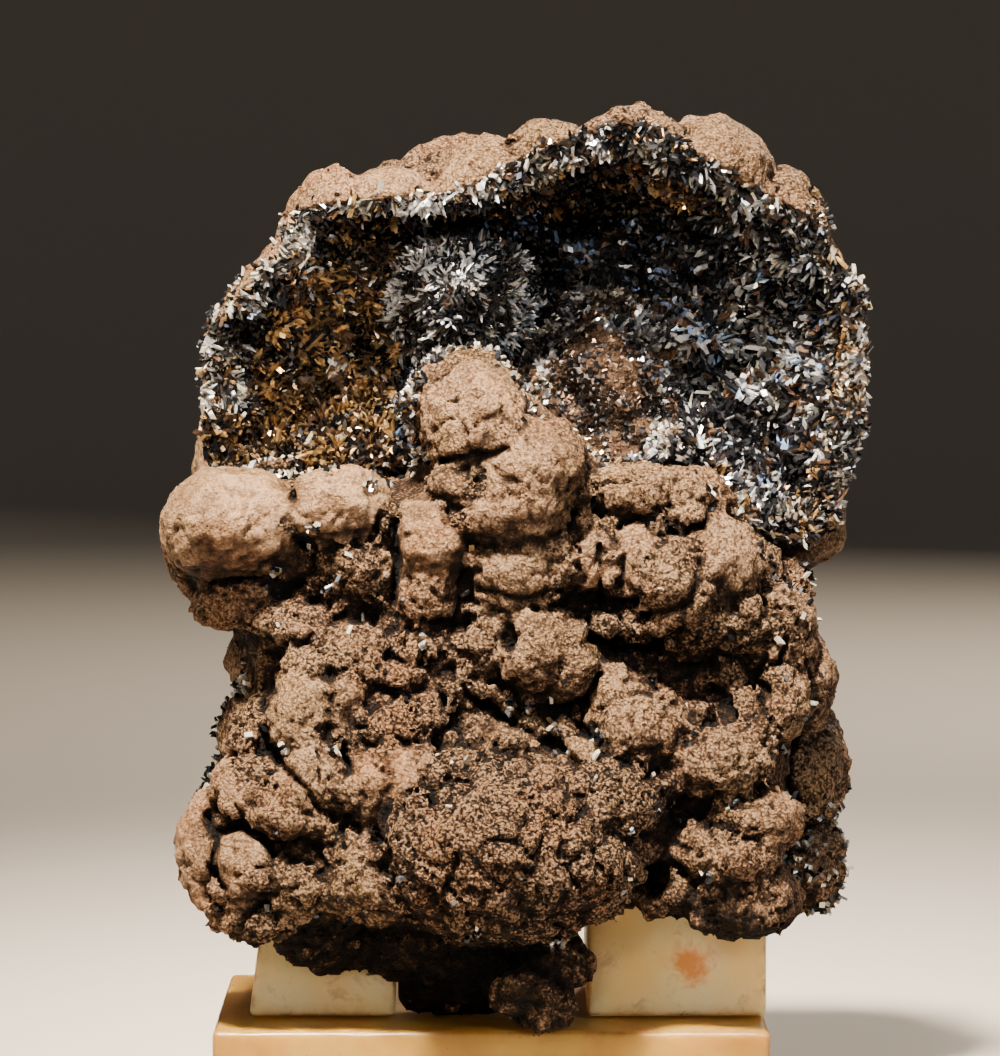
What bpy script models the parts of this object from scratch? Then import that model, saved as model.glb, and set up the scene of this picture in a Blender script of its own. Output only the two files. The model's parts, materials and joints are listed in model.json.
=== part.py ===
"""Pyrolusite with psilomelane on its display stand.

A brown lump of psilomelane with an open hollow at its upper back, the crust of pyrolusite
crystals that lines the hollow, and a three-piece acrylic stand. Sizes below are in millimetres.
+Z is up, -Y is the front, and the origin is the middle of the base's underside as the front sees it.
"""

import math
import random

import bmesh
import bpy
from mathutils import Matrix, Vector

MM = 0.001
SEED = 11
TOUCH_GAP = 0.3

# The stand: a base block with a shallow ledge in front of two upright blocks
BASE_WIDTH = 75.0
BASE_DEPTH = 50.0
BASE_HEIGHT = 15.0
BASE_FRONT = -19.5
LEDGE_DEPTH = 10.0
UPRIGHT_DEPTH = 30.0
UPRIGHT_TOP = 35.0
UPRIGHT_LEFT = (-33.0, -13.0)
UPRIGHT_RIGHT = (13.0, 37.5)
LEFT_SLANT = 2.5
BLOCK_BEVEL = 0.8

# How finely the rock's lumps are made and merged, and the share of faces it keeps
LUMP_DETAIL = 3
ROCK_VOXEL = 1.0
ROCK_KEEP = 0.041

# The heart of the rock, which the lumps stand on: centre, then radii
CORES = [
    ((-20, -3, 51), (17, 16, 16)),
    ((1, -8, 43), (15, 17, 17)),
    ((-23, -15, 37), (11, 8, 9)),
    ((20, -14, 40), (9, 8, 7)),
    ((25, -1, 51), (17, 16, 16)),
    ((-21, 2, 68), (15, 16, 19)),
    ((1, 2, 68), (23, 19, 21)),
    ((26, 4, 68), (16, 17, 19)),
    ((14, 4, 80), (24, 12, 11)),
    ((5, 19, 107), (42, 15, 27)),
    ((-6, 18, 90), (33, 15, 20)),
    ((20, 16, 84), (26, 16, 16)),
]

# Round lumps of the front, from the top down: centre, then radii
FRONT_LUMPS = [
    # Left lobe, with its smooth crown, hollow flank and lower lip
    ((-34, -10, 84), (10.5, 11, 6.3)),
    ((-35.5, -4, 78), (9, 10, 7.5)),
    ((-34.5, -11.5, 71), (5.5, 7, 4)),
    ((-26, -12.5, 69), (6.2, 7, 3.6)),
    # Second and third lobes of the same row
    ((-20, -13, 86), (7.6, 9, 5.4)),
    ((-18.5, -12, 77), (6, 9, 6.3)),
    ((-8, -16, 81), (5.8, 9, 6.8)),
    ((-9, -16.5, 74), (4.5, 7, 4.6)),
    # Raised knob over the row, with its shoulders
    ((-1.5, -15, 96.5), (7.2, 9, 6.5)),
    ((-3, -9, 98), (8, 9, 8)),
    ((7.2, -13, 94), (4.5, 8, 6)),
    ((2.5, -18, 86.5), (6.8, 9, 5.8)),
    ((9.2, -18, 88), (4.3, 7, 5)),
    ((-3.3, -16, 89), (5.8, 7, 3.6)),
    # Row of short columns under the knob
    ((3, -16.5, 75.5), (5.1, 8, 5.4)),
    ((9, -16.5, 77), (3.1, 6, 4.2)),
    ((14.2, -14.5, 76.5), (2.9, 6, 4.6)),
    ((20, -14, 77), (3.6, 6, 4.9)),
    # Right shoulder and knob
    ((20, -9, 86.5), (8.3, 9, 4.8)),
    ((28, -9, 86), (5.2, 8, 5)),
    ((31.3, -12, 77.5), (5.4, 9, 6.4)),
    ((25.7, -13, 74), (5.6, 8, 6)),
    ((21.5, -16.5, 70), (4.4, 6, 3.6)),
    ((30.5, -15.5, 68), (7.8, 7, 3.5)),
    ((37.5, -8, 67), (6.8, 10, 7.2)),
    ((42, -5, 60.5), (5, 10, 7)),
    ((40, -16.5, 57.5), (3.4, 6, 5.2)),
    # Middle band
    ((5.2, -17.5, 66.3), (4.8, 8, 4.6)),
    ((10, -19, 64.7), (3.8, 7, 5)),
    ((-1.5, -18.5, 66.8), (3.3, 6, 5.3)),
    ((-3.5, -18.5, 61), (3.5, 6, 3.2)),
    ((-11.5, -17.5, 66.6), (5.3, 6, 2.6)),
    ((-19, -15, 66), (4.9, 6, 2.8)),
    ((-12.7, -18, 62.3), (4.1, 6, 2.6)),
    ((-21.3, -15.5, 64), (5.7, 6, 2.6)),
    ((-24.3, -17, 58), (4.6, 8, 4.8)),
    ((-18.8, -19, 58.8), (2.2, 5, 4.2)),
    ((-12.8, -17.5, 55), (6.5, 7, 4.6)),
    ((-31, -14, 54), (2.6, 6, 4)),
    ((17, -20.5, 59.7), (3, 6, 4.2)),
    ((20.5, -21, 55.7), (5, 8, 4.9)),
    # Lower left, with the ball that shows a ring crack
    ((-30.5, -15, 47.5), (6.3, 9, 5.5)),
    ((-23, -17.5, 49), (4.4, 8, 6)),
    ((-16, -21, 48), (4.2, 8, 5.4)),
    ((-10, -20.5, 49.3), (4, 7, 4.5)),
    ((-38.3, -12, 39), (4.6, 10, 8.6)),
    ((-32.5, -17.5, 38), (6, 10, 6.1)),
    ((-26.5, -21.5, 34.8), (3, 6, 4)),
    ((-25.8, -19, 44.3), (5.4, 7, 3.8)),
    ((-32, -15, 31), (6.8, 8, 4.8)),
    # Broad belly and its beads
    ((-16.3, -21.5, 36), (6.2, 9, 6)),
    ((1, -17.5, 38.5), (16.5, 15.5, 11)),
    ((-5.5, -20, 48), (7, 9, 4.6)),
    ((14.5, -20, 46.5), (8.3, 10, 5.7)),
    ((3.6, -23, 54.3), (3.8, 5, 2.6)),
    ((12.6, -24, 51.6), (2.9, 5, 2.9)),
    ((8, -24.5, 49.1), (3, 5, 2.5)),
    # Lower right
    ((30, -18.5, 51.2), (7.8, 8, 4.1)),
    ((35, -15.5, 44.1), (7.3, 9, 5.1)),
    ((31, -17, 40), (8.1, 8, 4.6)),
    ((33.5, -14, 33), (9, 9, 7)),
    ((23, -15.5, 34), (5.8, 7, 4.4)),
    # Dark underside, the keel on the ledge and the tip in front of it
    ((-7, -18.5, 27), (18, 9, 8)),
    ((-22, -17.5, 27.5), (9, 8, 7)),
    ((-5, -15.5, 20.5), (10.5, 6.5, 5.2)),
    ((5, -21, 23), (8.5, 7.5, 6)),
    ((6.8, -23.8, 17), (5.2, 4.6, 5)),
]

# Lumps of the flanks and of the shell round the hollow: centre, then radii
BACK_LUMPS = [
    ((20, 8, 131), (9, 10, 9)),
    ((8, 8, 130), (8, 9, 8)),
    ((31, 10, 129), (8, 10, 9)),
    ((39, 10, 122), (8, 10, 8.5)),
    ((44, 10, 112), (8, 11, 10)),
    ((44.5, 9, 98), (7.5, 11, 10)),
    ((42, 8, 87), (7.5, 9, 8.5)),
    ((-1, 6, 127), (7, 8, 8)),
    ((-13, 6, 124), (8, 8, 7)),
    ((-22, 6, 123), (7, 8, 8)),
    ((-25, 7, 115), (7, 9, 7)),
    ((-32, 6, 106), (8, 9, 8)),
    ((-31, 6, 95), (7.5, 9, 8)),
    ((39, 6, 70), (5.5, 10, 8)),
    ((41, 4, 60), (6.5, 9, 8)),
    ((42, 8, 47), (8, 12, 11)),
    ((44, 3, 35), (6, 8, 7)),
    ((-29, 0, 57), (6.5, 11, 12)),
]

# Seeded lumps that cover the back, where nothing is known of the form
HIDDEN_LUMPS = 58
HIDDEN_RADIUS = (5.0, 9.0)
HIDDEN_STRETCH = (0.85, 1.15)
HIDDEN_DEPTH = 0.84
HIDDEN_FRONT = 8.0
HEART_REACH = 0.8

# The hollow: its rim seen from the front, clockwise from the lower left, as x, y, z and the
# height that the mouth is lifted there to clear the front lumps
RIM = [
    (-38, 3, 90, 4), (-39, 3, 99, 0), (-38.5, 2, 107, 0), (-34, 0, 113, 0),
    (-29, 1, 118, 0), (-26, 2, 124, 0), (-17, 1, 126, 0), (-5, 0, 127, 0),
    (4, -1, 131, 0), (13, -2, 135, 0), (21, -1, 136, 0), (28, 1, 132, 0),
    (34, 3, 128, 0), (42, 4, 124, 0), (48, 4, 117, 0), (51, 4, 107, 0),
    (50.5, 3, 97, 0), (48.5, 4, 87, 0), (43, 4, 80, 0), (36, 3, 82, 3),
    (28, 2, 90, 4), (19, 1.5, 91, 6), (10, 1.5, 90, 14), (0, 1.5, 90, 16),
    (-10, 1.5, 90, 13), (-19, 1.5, 90, 5), (-28, 2, 91, 4),
]

# The hollow's deepest point, the curve of its wall up to the rim, and its mouth
HOLLOW_POLE = Vector((17, 27, 117))
WALL_ROUNDNESS = 2.2
WALL_STEEPNESS = 0.8
THROAT_STEP = 2.5
MOUTH_FRONT = -27.0
MOUTH_FLARE = 1.12

# Crystal mounds inside the hollow: x, z, radius and how far they stand out
MOUNDS = [
    (-4, 113, 10.0, 14.0),
    (15, 102, 11.0, 12.0),
    (27, 109, 6.5, 7.0),
    (34, 96, 7.0, 5.0),
    (-24, 104, 8.0, 3.5),
    (3, 97, 6.0, 6.0),
]
MOUND_ROUNDNESS = 0.7
MOUND_FADE = 6

# The crust in the hollow, as rings round the deepest point, and the gap to the rock behind it
SPOKES = 46
RINGS = 10
FIRST_RING = 0.16
CRUST_REACH = 0.975
CRUST_FRACTIONS = [FIRST_RING + (CRUST_REACH - FIRST_RING) * ring / (RINGS - 1) for ring in range(RINGS)]
CRUST_GAP = 0.6
CRUST_THICKNESS = 2.2
RIM_TURN = 8

# The crystals that stand on the flatter, roomier patches of the crust
CRYSTALS = 90
CRYSTAL_LENGTH = (2.0, 4.5)
CRYSTAL_INSET = 0.12
CRYSTAL_TAPER = 0.8
CRYSTAL_LEAN = 0.35
CRYSTAL_SLOPE = 0.5
PATCH_FLATNESS = 0.5
PATCH_WIDTH = 1.6
PATCH_FACING = 0.35

PSILOMELANE_BROWN = (0.155, 0.085, 0.048)
PYROLUSITE_GREY = (0.10, 0.10, 0.11)
ACRYLIC_CREAM = (0.80, 0.62, 0.34)


def clear_scene():
    """Removes whatever objects the file opened with."""
    for obj in list(bpy.data.objects):
        bpy.data.objects.remove(obj, do_unlink=True)


def make_material(name, colour, roughness, metallic=0.0, transmission=0.0):
    """Returns a Principled material of one colour."""
    material = bpy.data.materials.new(name)
    material.use_nodes = True
    shader = material.node_tree.nodes["Principled BSDF"]
    shader.inputs["Base Color"].default_value = (*colour, 1.0)
    shader.inputs["Roughness"].default_value = roughness
    shader.inputs["Metallic"].default_value = metallic
    shader.inputs["Transmission Weight"].default_value = transmission
    return material


def add_object(name, bm, material=None):
    """Turns a bmesh in millimetres into a linked object in metres."""
    bmesh.ops.scale(bm, vec=(MM, MM, MM), verts=bm.verts)
    bmesh.ops.recalc_face_normals(bm, faces=bm.faces)
    mesh = bpy.data.meshes.new(name)
    bm.to_mesh(mesh)
    bm.free()
    obj = bpy.data.objects.new(name, mesh)
    if material:
        mesh.materials.append(material)
    bpy.context.scene.collection.objects.link(obj)
    return obj


def hide_cutter(obj):
    """Marks an object as a cutter, which isn't a piece of the specimen."""
    obj.hide_render = True
    obj.display_type = "WIRE"
    return obj


def add_lump(bm, centre, radii):
    """Adds one rounded lump to the rock."""
    place = Matrix.Translation(centre) @ Matrix.Diagonal((*radii, 1.0))
    bmesh.ops.create_icosphere(bm, subdivisions=LUMP_DETAIL, radius=1.0, matrix=place)


def inside_heart(point, own_centre):
    """Whether a point lies inside the rock's heart, leaving out the core that it stands on."""
    for centre, radii in CORES:
        if centre != own_centre:
            reach = [(p - c) / r for p, c, r in zip(point, centre, radii)]
            if sum(r * r for r in reach) < HEART_REACH:
                return True
    return False


def hidden_lumps(rng):
    """Yields lumps scattered over the back and top of the rock's heart."""
    made = 0
    while made < HIDDEN_LUMPS:
        centre, radii = rng.choice(CORES)
        turn = rng.uniform(0, 2 * math.pi)
        height = rng.uniform(-0.9, 0.9)
        flat = math.sqrt(1 - height * height)
        direction = Vector((flat * math.cos(turn), flat * math.sin(turn), height))
        point = Vector(centre) + Vector([r * HIDDEN_DEPTH * d for r, d in zip(radii, direction)])
        low = point.z < UPRIGHT_TOP + HIDDEN_RADIUS[1]
        if point.y < HIDDEN_FRONT or low or inside_heart(point, centre):
            continue
        made += 1
        size = rng.uniform(*HIDDEN_RADIUS)
        stretch = [size * rng.uniform(*HIDDEN_STRETCH) for _ in range(3)]
        yield point, stretch


def smooth_loop(points, count):
    """Reads count evenly spaced points from a smooth closed curve through the given points."""
    loop = []
    for i in range(count):
        along = i * len(points) / count
        k = int(along)
        t = along - k
        before, start, end, after = [Vector(points[(k + j) % len(points)]) for j in (-1, 0, 1, 2)]
        bend = 2 * before - 5 * start + 4 * end - after
        loop.append(0.5 * (2 * start + (end - before) * t + bend * t * t
                           + (3 * start - before - 3 * end + after) * t ** 3))
    return loop


def mound_height(x, z):
    """How far the crystal mounds stand out of the hollow's wall at one place."""
    height = 0.0
    for mound_x, mound_z, radius, rise in MOUNDS:
        away = math.hypot(x - mound_x, z - mound_z) / radius
        if away < 1.0:
            height = max(height, rise * (1 - away * away) ** MOUND_ROUNDNESS)
    return height


def hollow_point(rim_point, fraction):
    """A point of the hollow's wall, from its deepest point (fraction 0) to the rim (1)."""
    x = HOLLOW_POLE.x + (rim_point.x - HOLLOW_POLE.x) * fraction
    z = HOLLOW_POLE.z + (rim_point.z - HOLLOW_POLE.z) * fraction
    depth = (1 - fraction ** WALL_ROUNDNESS) ** WALL_STEEPNESS
    y = rim_point.y + (HOLLOW_POLE.y - rim_point.y) * depth
    return Vector((x, y - mound_height(x, z) * (1 - fraction ** MOUND_FADE), z))


def hollow_rings(bm, rim, fractions):
    """Adds the hollow's wall as a pole and a ring of vertices at each fraction of the way to the rim."""
    pole = bm.verts.new(hollow_point(rim[0], 0.0))
    rings = [[bm.verts.new(hollow_point(point, fraction)) for point in rim] for fraction in fractions]
    for i in range(len(rim)):
        j = (i + 1) % len(rim)
        bm.faces.new((pole, rings[0][j], rings[0][i]))
        for inner, outer in zip(rings, rings[1:]):
            bm.faces.new((inner[i], inner[j], outer[j]))
            bm.faces.new((inner[i], outer[j], outer[i]))
    return pole, rings


def join_loops(bm, first, second):
    """Closes the band between two loops of equally many vertices."""
    for i in range(len(first)):
        j = (i + 1) % len(first)
        bm.faces.new((first[i], first[j], second[j], second[i]))


def make_hollow_cutter(rim):
    """The open space of the hollow, out through its mouth and past the front."""
    bm = bmesh.new()
    pole, rings = hollow_rings(bm, [point.to_3d() for point in rim], CRUST_FRACTIONS + [1.0])
    throat = []
    mouth = []
    for point in rim:
        lifted = Vector((point.x, point.y - THROAT_STEP, point.z + point.w))
        throat.append(bm.verts.new(lifted))
        x = HOLLOW_POLE.x + (lifted.x - HOLLOW_POLE.x) * MOUTH_FLARE
        z = max(lifted.z, HOLLOW_POLE.z + (lifted.z - HOLLOW_POLE.z) * MOUTH_FLARE)
        mouth.append(bm.verts.new((x, MOUTH_FRONT, z)))
    join_loops(bm, rings[-1], throat)
    join_loops(bm, throat, mouth)
    bm.faces.new(mouth)
    return hide_cutter(add_object("hollow_cutter", bm))


def open_direction(point, fraction):
    """The way out of the hollow's wall: forward inside it, and inward as well beside the rim."""
    inward = Vector((HOLLOW_POLE.x - point.x, 0, HOLLOW_POLE.z - point.z)).normalized()
    side = fraction ** RIM_TURN
    return Vector((0, -math.sqrt(1 - side * side), 0)) + inward * side


def make_crust(rim, rng, material):
    """The crystals that line the hollow: a thin crust with flat-faced crystals standing on it."""
    bm = bmesh.new()
    rim = [point.to_3d() for point in rim]
    pole, rings = hollow_rings(bm, rim, CRUST_FRACTIONS)
    back = [(0.0, pole)] + [(f, vert) for f, ring in zip(CRUST_FRACTIONS, rings) for vert in ring]
    for fraction, vert in back:
        vert.co += open_direction(vert.co, fraction) * CRUST_GAP
    front_pole = bm.verts.new(pole.co + open_direction(pole.co, 0.0) * CRUST_THICKNESS)
    front_rings = []
    for fraction, ring in zip(CRUST_FRACTIONS, rings):
        places = [vert.co + open_direction(vert.co, fraction) * CRUST_THICKNESS for vert in ring]
        front_rings.append([bm.verts.new(place) for place in places])
    flat_faces = []
    count = len(rim)
    for i in range(count):
        j = (i + 1) % count
        bm.faces.new((front_pole, front_rings[0][i], front_rings[0][j]))
        for inner, outer in zip(front_rings, front_rings[1:]):
            if flatness(inner[i], inner[j], outer[j], outer[i]) < PATCH_FLATNESS:
                flat_faces.append(bm.faces.new((inner[i], inner[j], outer[j], outer[i])))
            else:
                bm.faces.new((inner[i], inner[j], outer[j]))
                bm.faces.new((inner[i], outer[j], outer[i]))
    join_loops(bm, rings[-1], front_rings[-1])
    bmesh.ops.recalc_face_normals(bm, faces=bm.faces)
    grow_crystals(bm, flat_faces, rng)
    return add_object("pyrolusite_crust", bm, material)


def flatness(a, b, c, d):
    """How far the fourth corner of a four-sided patch lies from the plane of the other three."""
    normal = (b.co - a.co).cross(c.co - a.co).normalized()
    return abs((d.co - a.co).dot(normal))


def grow_crystals(bm, faces, rng):
    """Raises a flat-faced, slightly tilted crystal from some of the crust's roomy patches."""
    roomy = [face for face in faces if face.normal.y < -PATCH_FACING
             and min(edge.calc_length() for edge in face.edges) > PATCH_WIDTH]
    for face in rng.sample(roomy, CRYSTALS):
        width = math.sqrt(face.calc_area())
        bmesh.ops.inset_individual(bm, faces=[face], thickness=width * CRYSTAL_INSET)
        grown = bmesh.ops.extrude_discrete_faces(bm, faces=[face])["faces"][0]
        lean = Vector([rng.uniform(-CRYSTAL_LEAN, CRYSTAL_LEAN) for _ in range(3)])
        direction = (grown.normal + lean).normalized()
        middle = grown.calc_center_median()
        length = rng.uniform(*CRYSTAL_LENGTH)
        for vert in grown.verts:
            vert.co = middle + (vert.co - middle) * CRYSTAL_TAPER + direction * length
            vert.co += direction * rng.uniform(0.0, CRYSTAL_SLOPE)


def add_modifier(obj, kind, **settings):
    """Adds a modifier with its settings."""
    modifier = obj.modifiers.new(kind.lower(), kind)
    for name, value in settings.items():
        setattr(modifier, name, value)


def make_rock(rng, cutters, material):
    """The psilomelane: fused lumps with the hollow cut out of them."""
    bm = bmesh.new()
    for centre, radii in CORES + FRONT_LUMPS + BACK_LUMPS:
        add_lump(bm, centre, radii)
    for centre, radii in hidden_lumps(rng):
        add_lump(bm, centre, radii)
    rock = add_object("psilomelane", bm, material)
    add_modifier(rock, "REMESH", mode="VOXEL", voxel_size=ROCK_VOXEL * MM)
    add_modifier(rock, "DECIMATE", ratio=ROCK_KEEP)
    for cutter in cutters:
        add_modifier(rock, "BOOLEAN", operation="DIFFERENCE", solver="EXACT", object=cutter)


def block(name, x_range, y_range, z_range, material=None, slant=0.0, bevel=0.0):
    """A block with rounded edges, whose left side can lean inwards towards the top."""
    bm = bmesh.new()
    bmesh.ops.create_cube(bm, size=1.0)
    for vert in bm.verts:
        right, back, top = vert.co.x > 0, vert.co.y > 0, vert.co.z > 0
        vert.co = Vector((x_range[right], y_range[back], z_range[top]))
        if top and not right:
            vert.co.x += slant
    if bevel:
        bmesh.ops.bevel(bm, geom=bm.edges[:], offset=bevel, segments=2, profile=0.5, affect="EDGES")
    return add_object(name, bm, material)


def stand_blocks(grow=0.0):
    """The stand's three blocks as name, ranges and slant, each grown by a clearance."""
    half = BASE_WIDTH / 2
    upright_front = BASE_FRONT + LEDGE_DEPTH
    upright_y = (upright_front - grow, upright_front + UPRIGHT_DEPTH + grow)
    upright_z = (BASE_HEIGHT + TOUCH_GAP - grow, UPRIGHT_TOP + grow)
    return [
        ("stand_base", (-half - grow, half + grow),
         (BASE_FRONT - grow, BASE_FRONT + BASE_DEPTH + grow), (-grow, BASE_HEIGHT + grow), 0.0),
        ("stand_back_left", (UPRIGHT_LEFT[0] - grow, UPRIGHT_LEFT[1] + grow),
         upright_y, upright_z, LEFT_SLANT),
        ("stand_back_right", (UPRIGHT_RIGHT[0] - grow, UPRIGHT_RIGHT[1] + grow),
         upright_y, upright_z, 0.0),
    ]


def main():
    clear_scene()
    rng = random.Random(SEED)
    brown = make_material("psilomelane_brown", PSILOMELANE_BROWN, 0.9)
    grey = make_material("pyrolusite_grey", PYROLUSITE_GREY, 0.35, metallic=0.8)
    acrylic = make_material("aged_acrylic", ACRYLIC_CREAM, 0.25, transmission=0.6)
    for name, x_range, y_range, z_range, slant in stand_blocks():
        block(name, x_range, y_range, z_range, acrylic, slant, BLOCK_BEVEL)
    cutters = []
    for name, x_range, y_range, z_range, slant in stand_blocks(grow=TOUCH_GAP):
        cutters.append(hide_cutter(block(name + "_seat", x_range, y_range, z_range, slant=slant)))
    rim = smooth_loop(RIM, SPOKES)
    cutters.append(make_hollow_cutter(rim))
    make_crust(rim, rng, grey)
    make_rock(rng, cutters, brown)


main()
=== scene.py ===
"""Looks for the pyrolusite with psilomelane specimen on its acrylic stand.

The rock is a solid grown from the same lumps as the part, on a fine grid, with beads, crevices
and cracks. The hollow's crust carries thousands of small flat-faced crystals. All sizes here are
in millimetres until a mesh is made. +Z is up and -Y is the front.
"""

import itertools
import json
import math

import bpy
import numpy as np
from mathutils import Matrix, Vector

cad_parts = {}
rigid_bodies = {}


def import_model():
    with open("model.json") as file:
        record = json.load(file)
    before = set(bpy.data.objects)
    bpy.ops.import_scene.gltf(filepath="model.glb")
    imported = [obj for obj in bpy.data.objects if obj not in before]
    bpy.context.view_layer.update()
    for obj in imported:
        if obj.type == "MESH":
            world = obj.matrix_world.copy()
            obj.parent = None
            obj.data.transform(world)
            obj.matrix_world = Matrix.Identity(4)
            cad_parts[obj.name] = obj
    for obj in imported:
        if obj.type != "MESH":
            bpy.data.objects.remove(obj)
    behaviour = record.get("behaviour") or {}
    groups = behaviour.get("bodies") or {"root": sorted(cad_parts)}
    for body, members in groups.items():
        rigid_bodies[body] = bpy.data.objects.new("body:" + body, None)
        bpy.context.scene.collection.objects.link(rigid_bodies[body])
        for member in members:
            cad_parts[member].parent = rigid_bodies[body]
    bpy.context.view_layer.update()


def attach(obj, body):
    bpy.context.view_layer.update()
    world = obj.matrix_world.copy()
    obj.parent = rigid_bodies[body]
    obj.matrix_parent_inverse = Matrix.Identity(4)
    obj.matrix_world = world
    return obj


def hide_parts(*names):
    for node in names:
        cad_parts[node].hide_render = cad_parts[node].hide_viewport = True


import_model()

MM = 0.001
SEED = 7

# The grid that the rock is grown on
GRID_STEP = 0.45
GRID_LOW = np.array((-48.0, -36.5, 9.5))
GRID_HIGH = np.array((55.5, 41.5, 143.0))
FAR = 4.0

# How softly lumps run together and recesses cut in, and the waves that bend the grid
LUMP_BLEND = 1.2
RECESS_BLEND = 1.0
BENDS = ((2.4, 11.0), (1.5, 4.5))

# The soft seam where the front meets the shell
SEAM = 0.8

# The body behind the front's domes: the same lumps, set back and a little smaller
BODY_BACK = 3.5
BODY_SIZE = 0.93

# The smooth sheet that the domes rise from, and how far they rise as a share of their size
SHEET_BACK = 1.2
SHEET_SLOPE = 0.8
SHEET_END = 2.0
SHEET_BLEND = 1.2
SHEET_BLUR = 3.6
SHEET_EDGE = (0.86, 60.0)
UNDERCUT = (30.5, 1.3, 13.0)
DOME_RISE = (0.34, 0.60)
DOME_SPREAD = 0.27
DOME_SHIFT = (-2.0, 5.0)

# Small seeded domes between the named ones, and a smooth crown that stays free of them
EXTRA_DOMES = 170
EXTRA_RADIUS = (1.7, 3.6)
EXTRA_SPACING = 0.75
EXTRA_STRETCH = (0.85, 1.2)
EXTRA_RISE = 0.35
EXTRA_GRAIN = (0.5, 0.95)
SMOOTH_CROWN = (-36.0, 84.5, 6.5)

# The grain of skin that no lump sets: 0 is smooth and 1 is crumbly
PLAIN_GRAIN = 0.7

# The heart of the lower rock and the shell behind the hollow: centre, radii
FRONT_CORES = [
    ((-20, -3, 51), (17, 16, 16)),
    ((1, -8, 43), (15, 17, 17)),
    ((-23, -15, 37), (11, 8, 9)),
    ((20, -14, 40), (9, 8, 7)),
    ((25, -1, 51), (17, 16, 16)),
    ((-21, 2, 68), (15, 16, 19)),
    ((1, 2, 68), (23, 19, 21)),
    ((26, 4, 68), (16, 17, 19)),
]
SHELL_CORES = [
    ((14, 4, 80), (24, 12, 11)),
    ((5, 19, 107), (42, 15, 27)),
    ((-6, 18, 90), (33, 15, 20)),
    ((20, 16, 84), (26, 16, 16)),
]

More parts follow.
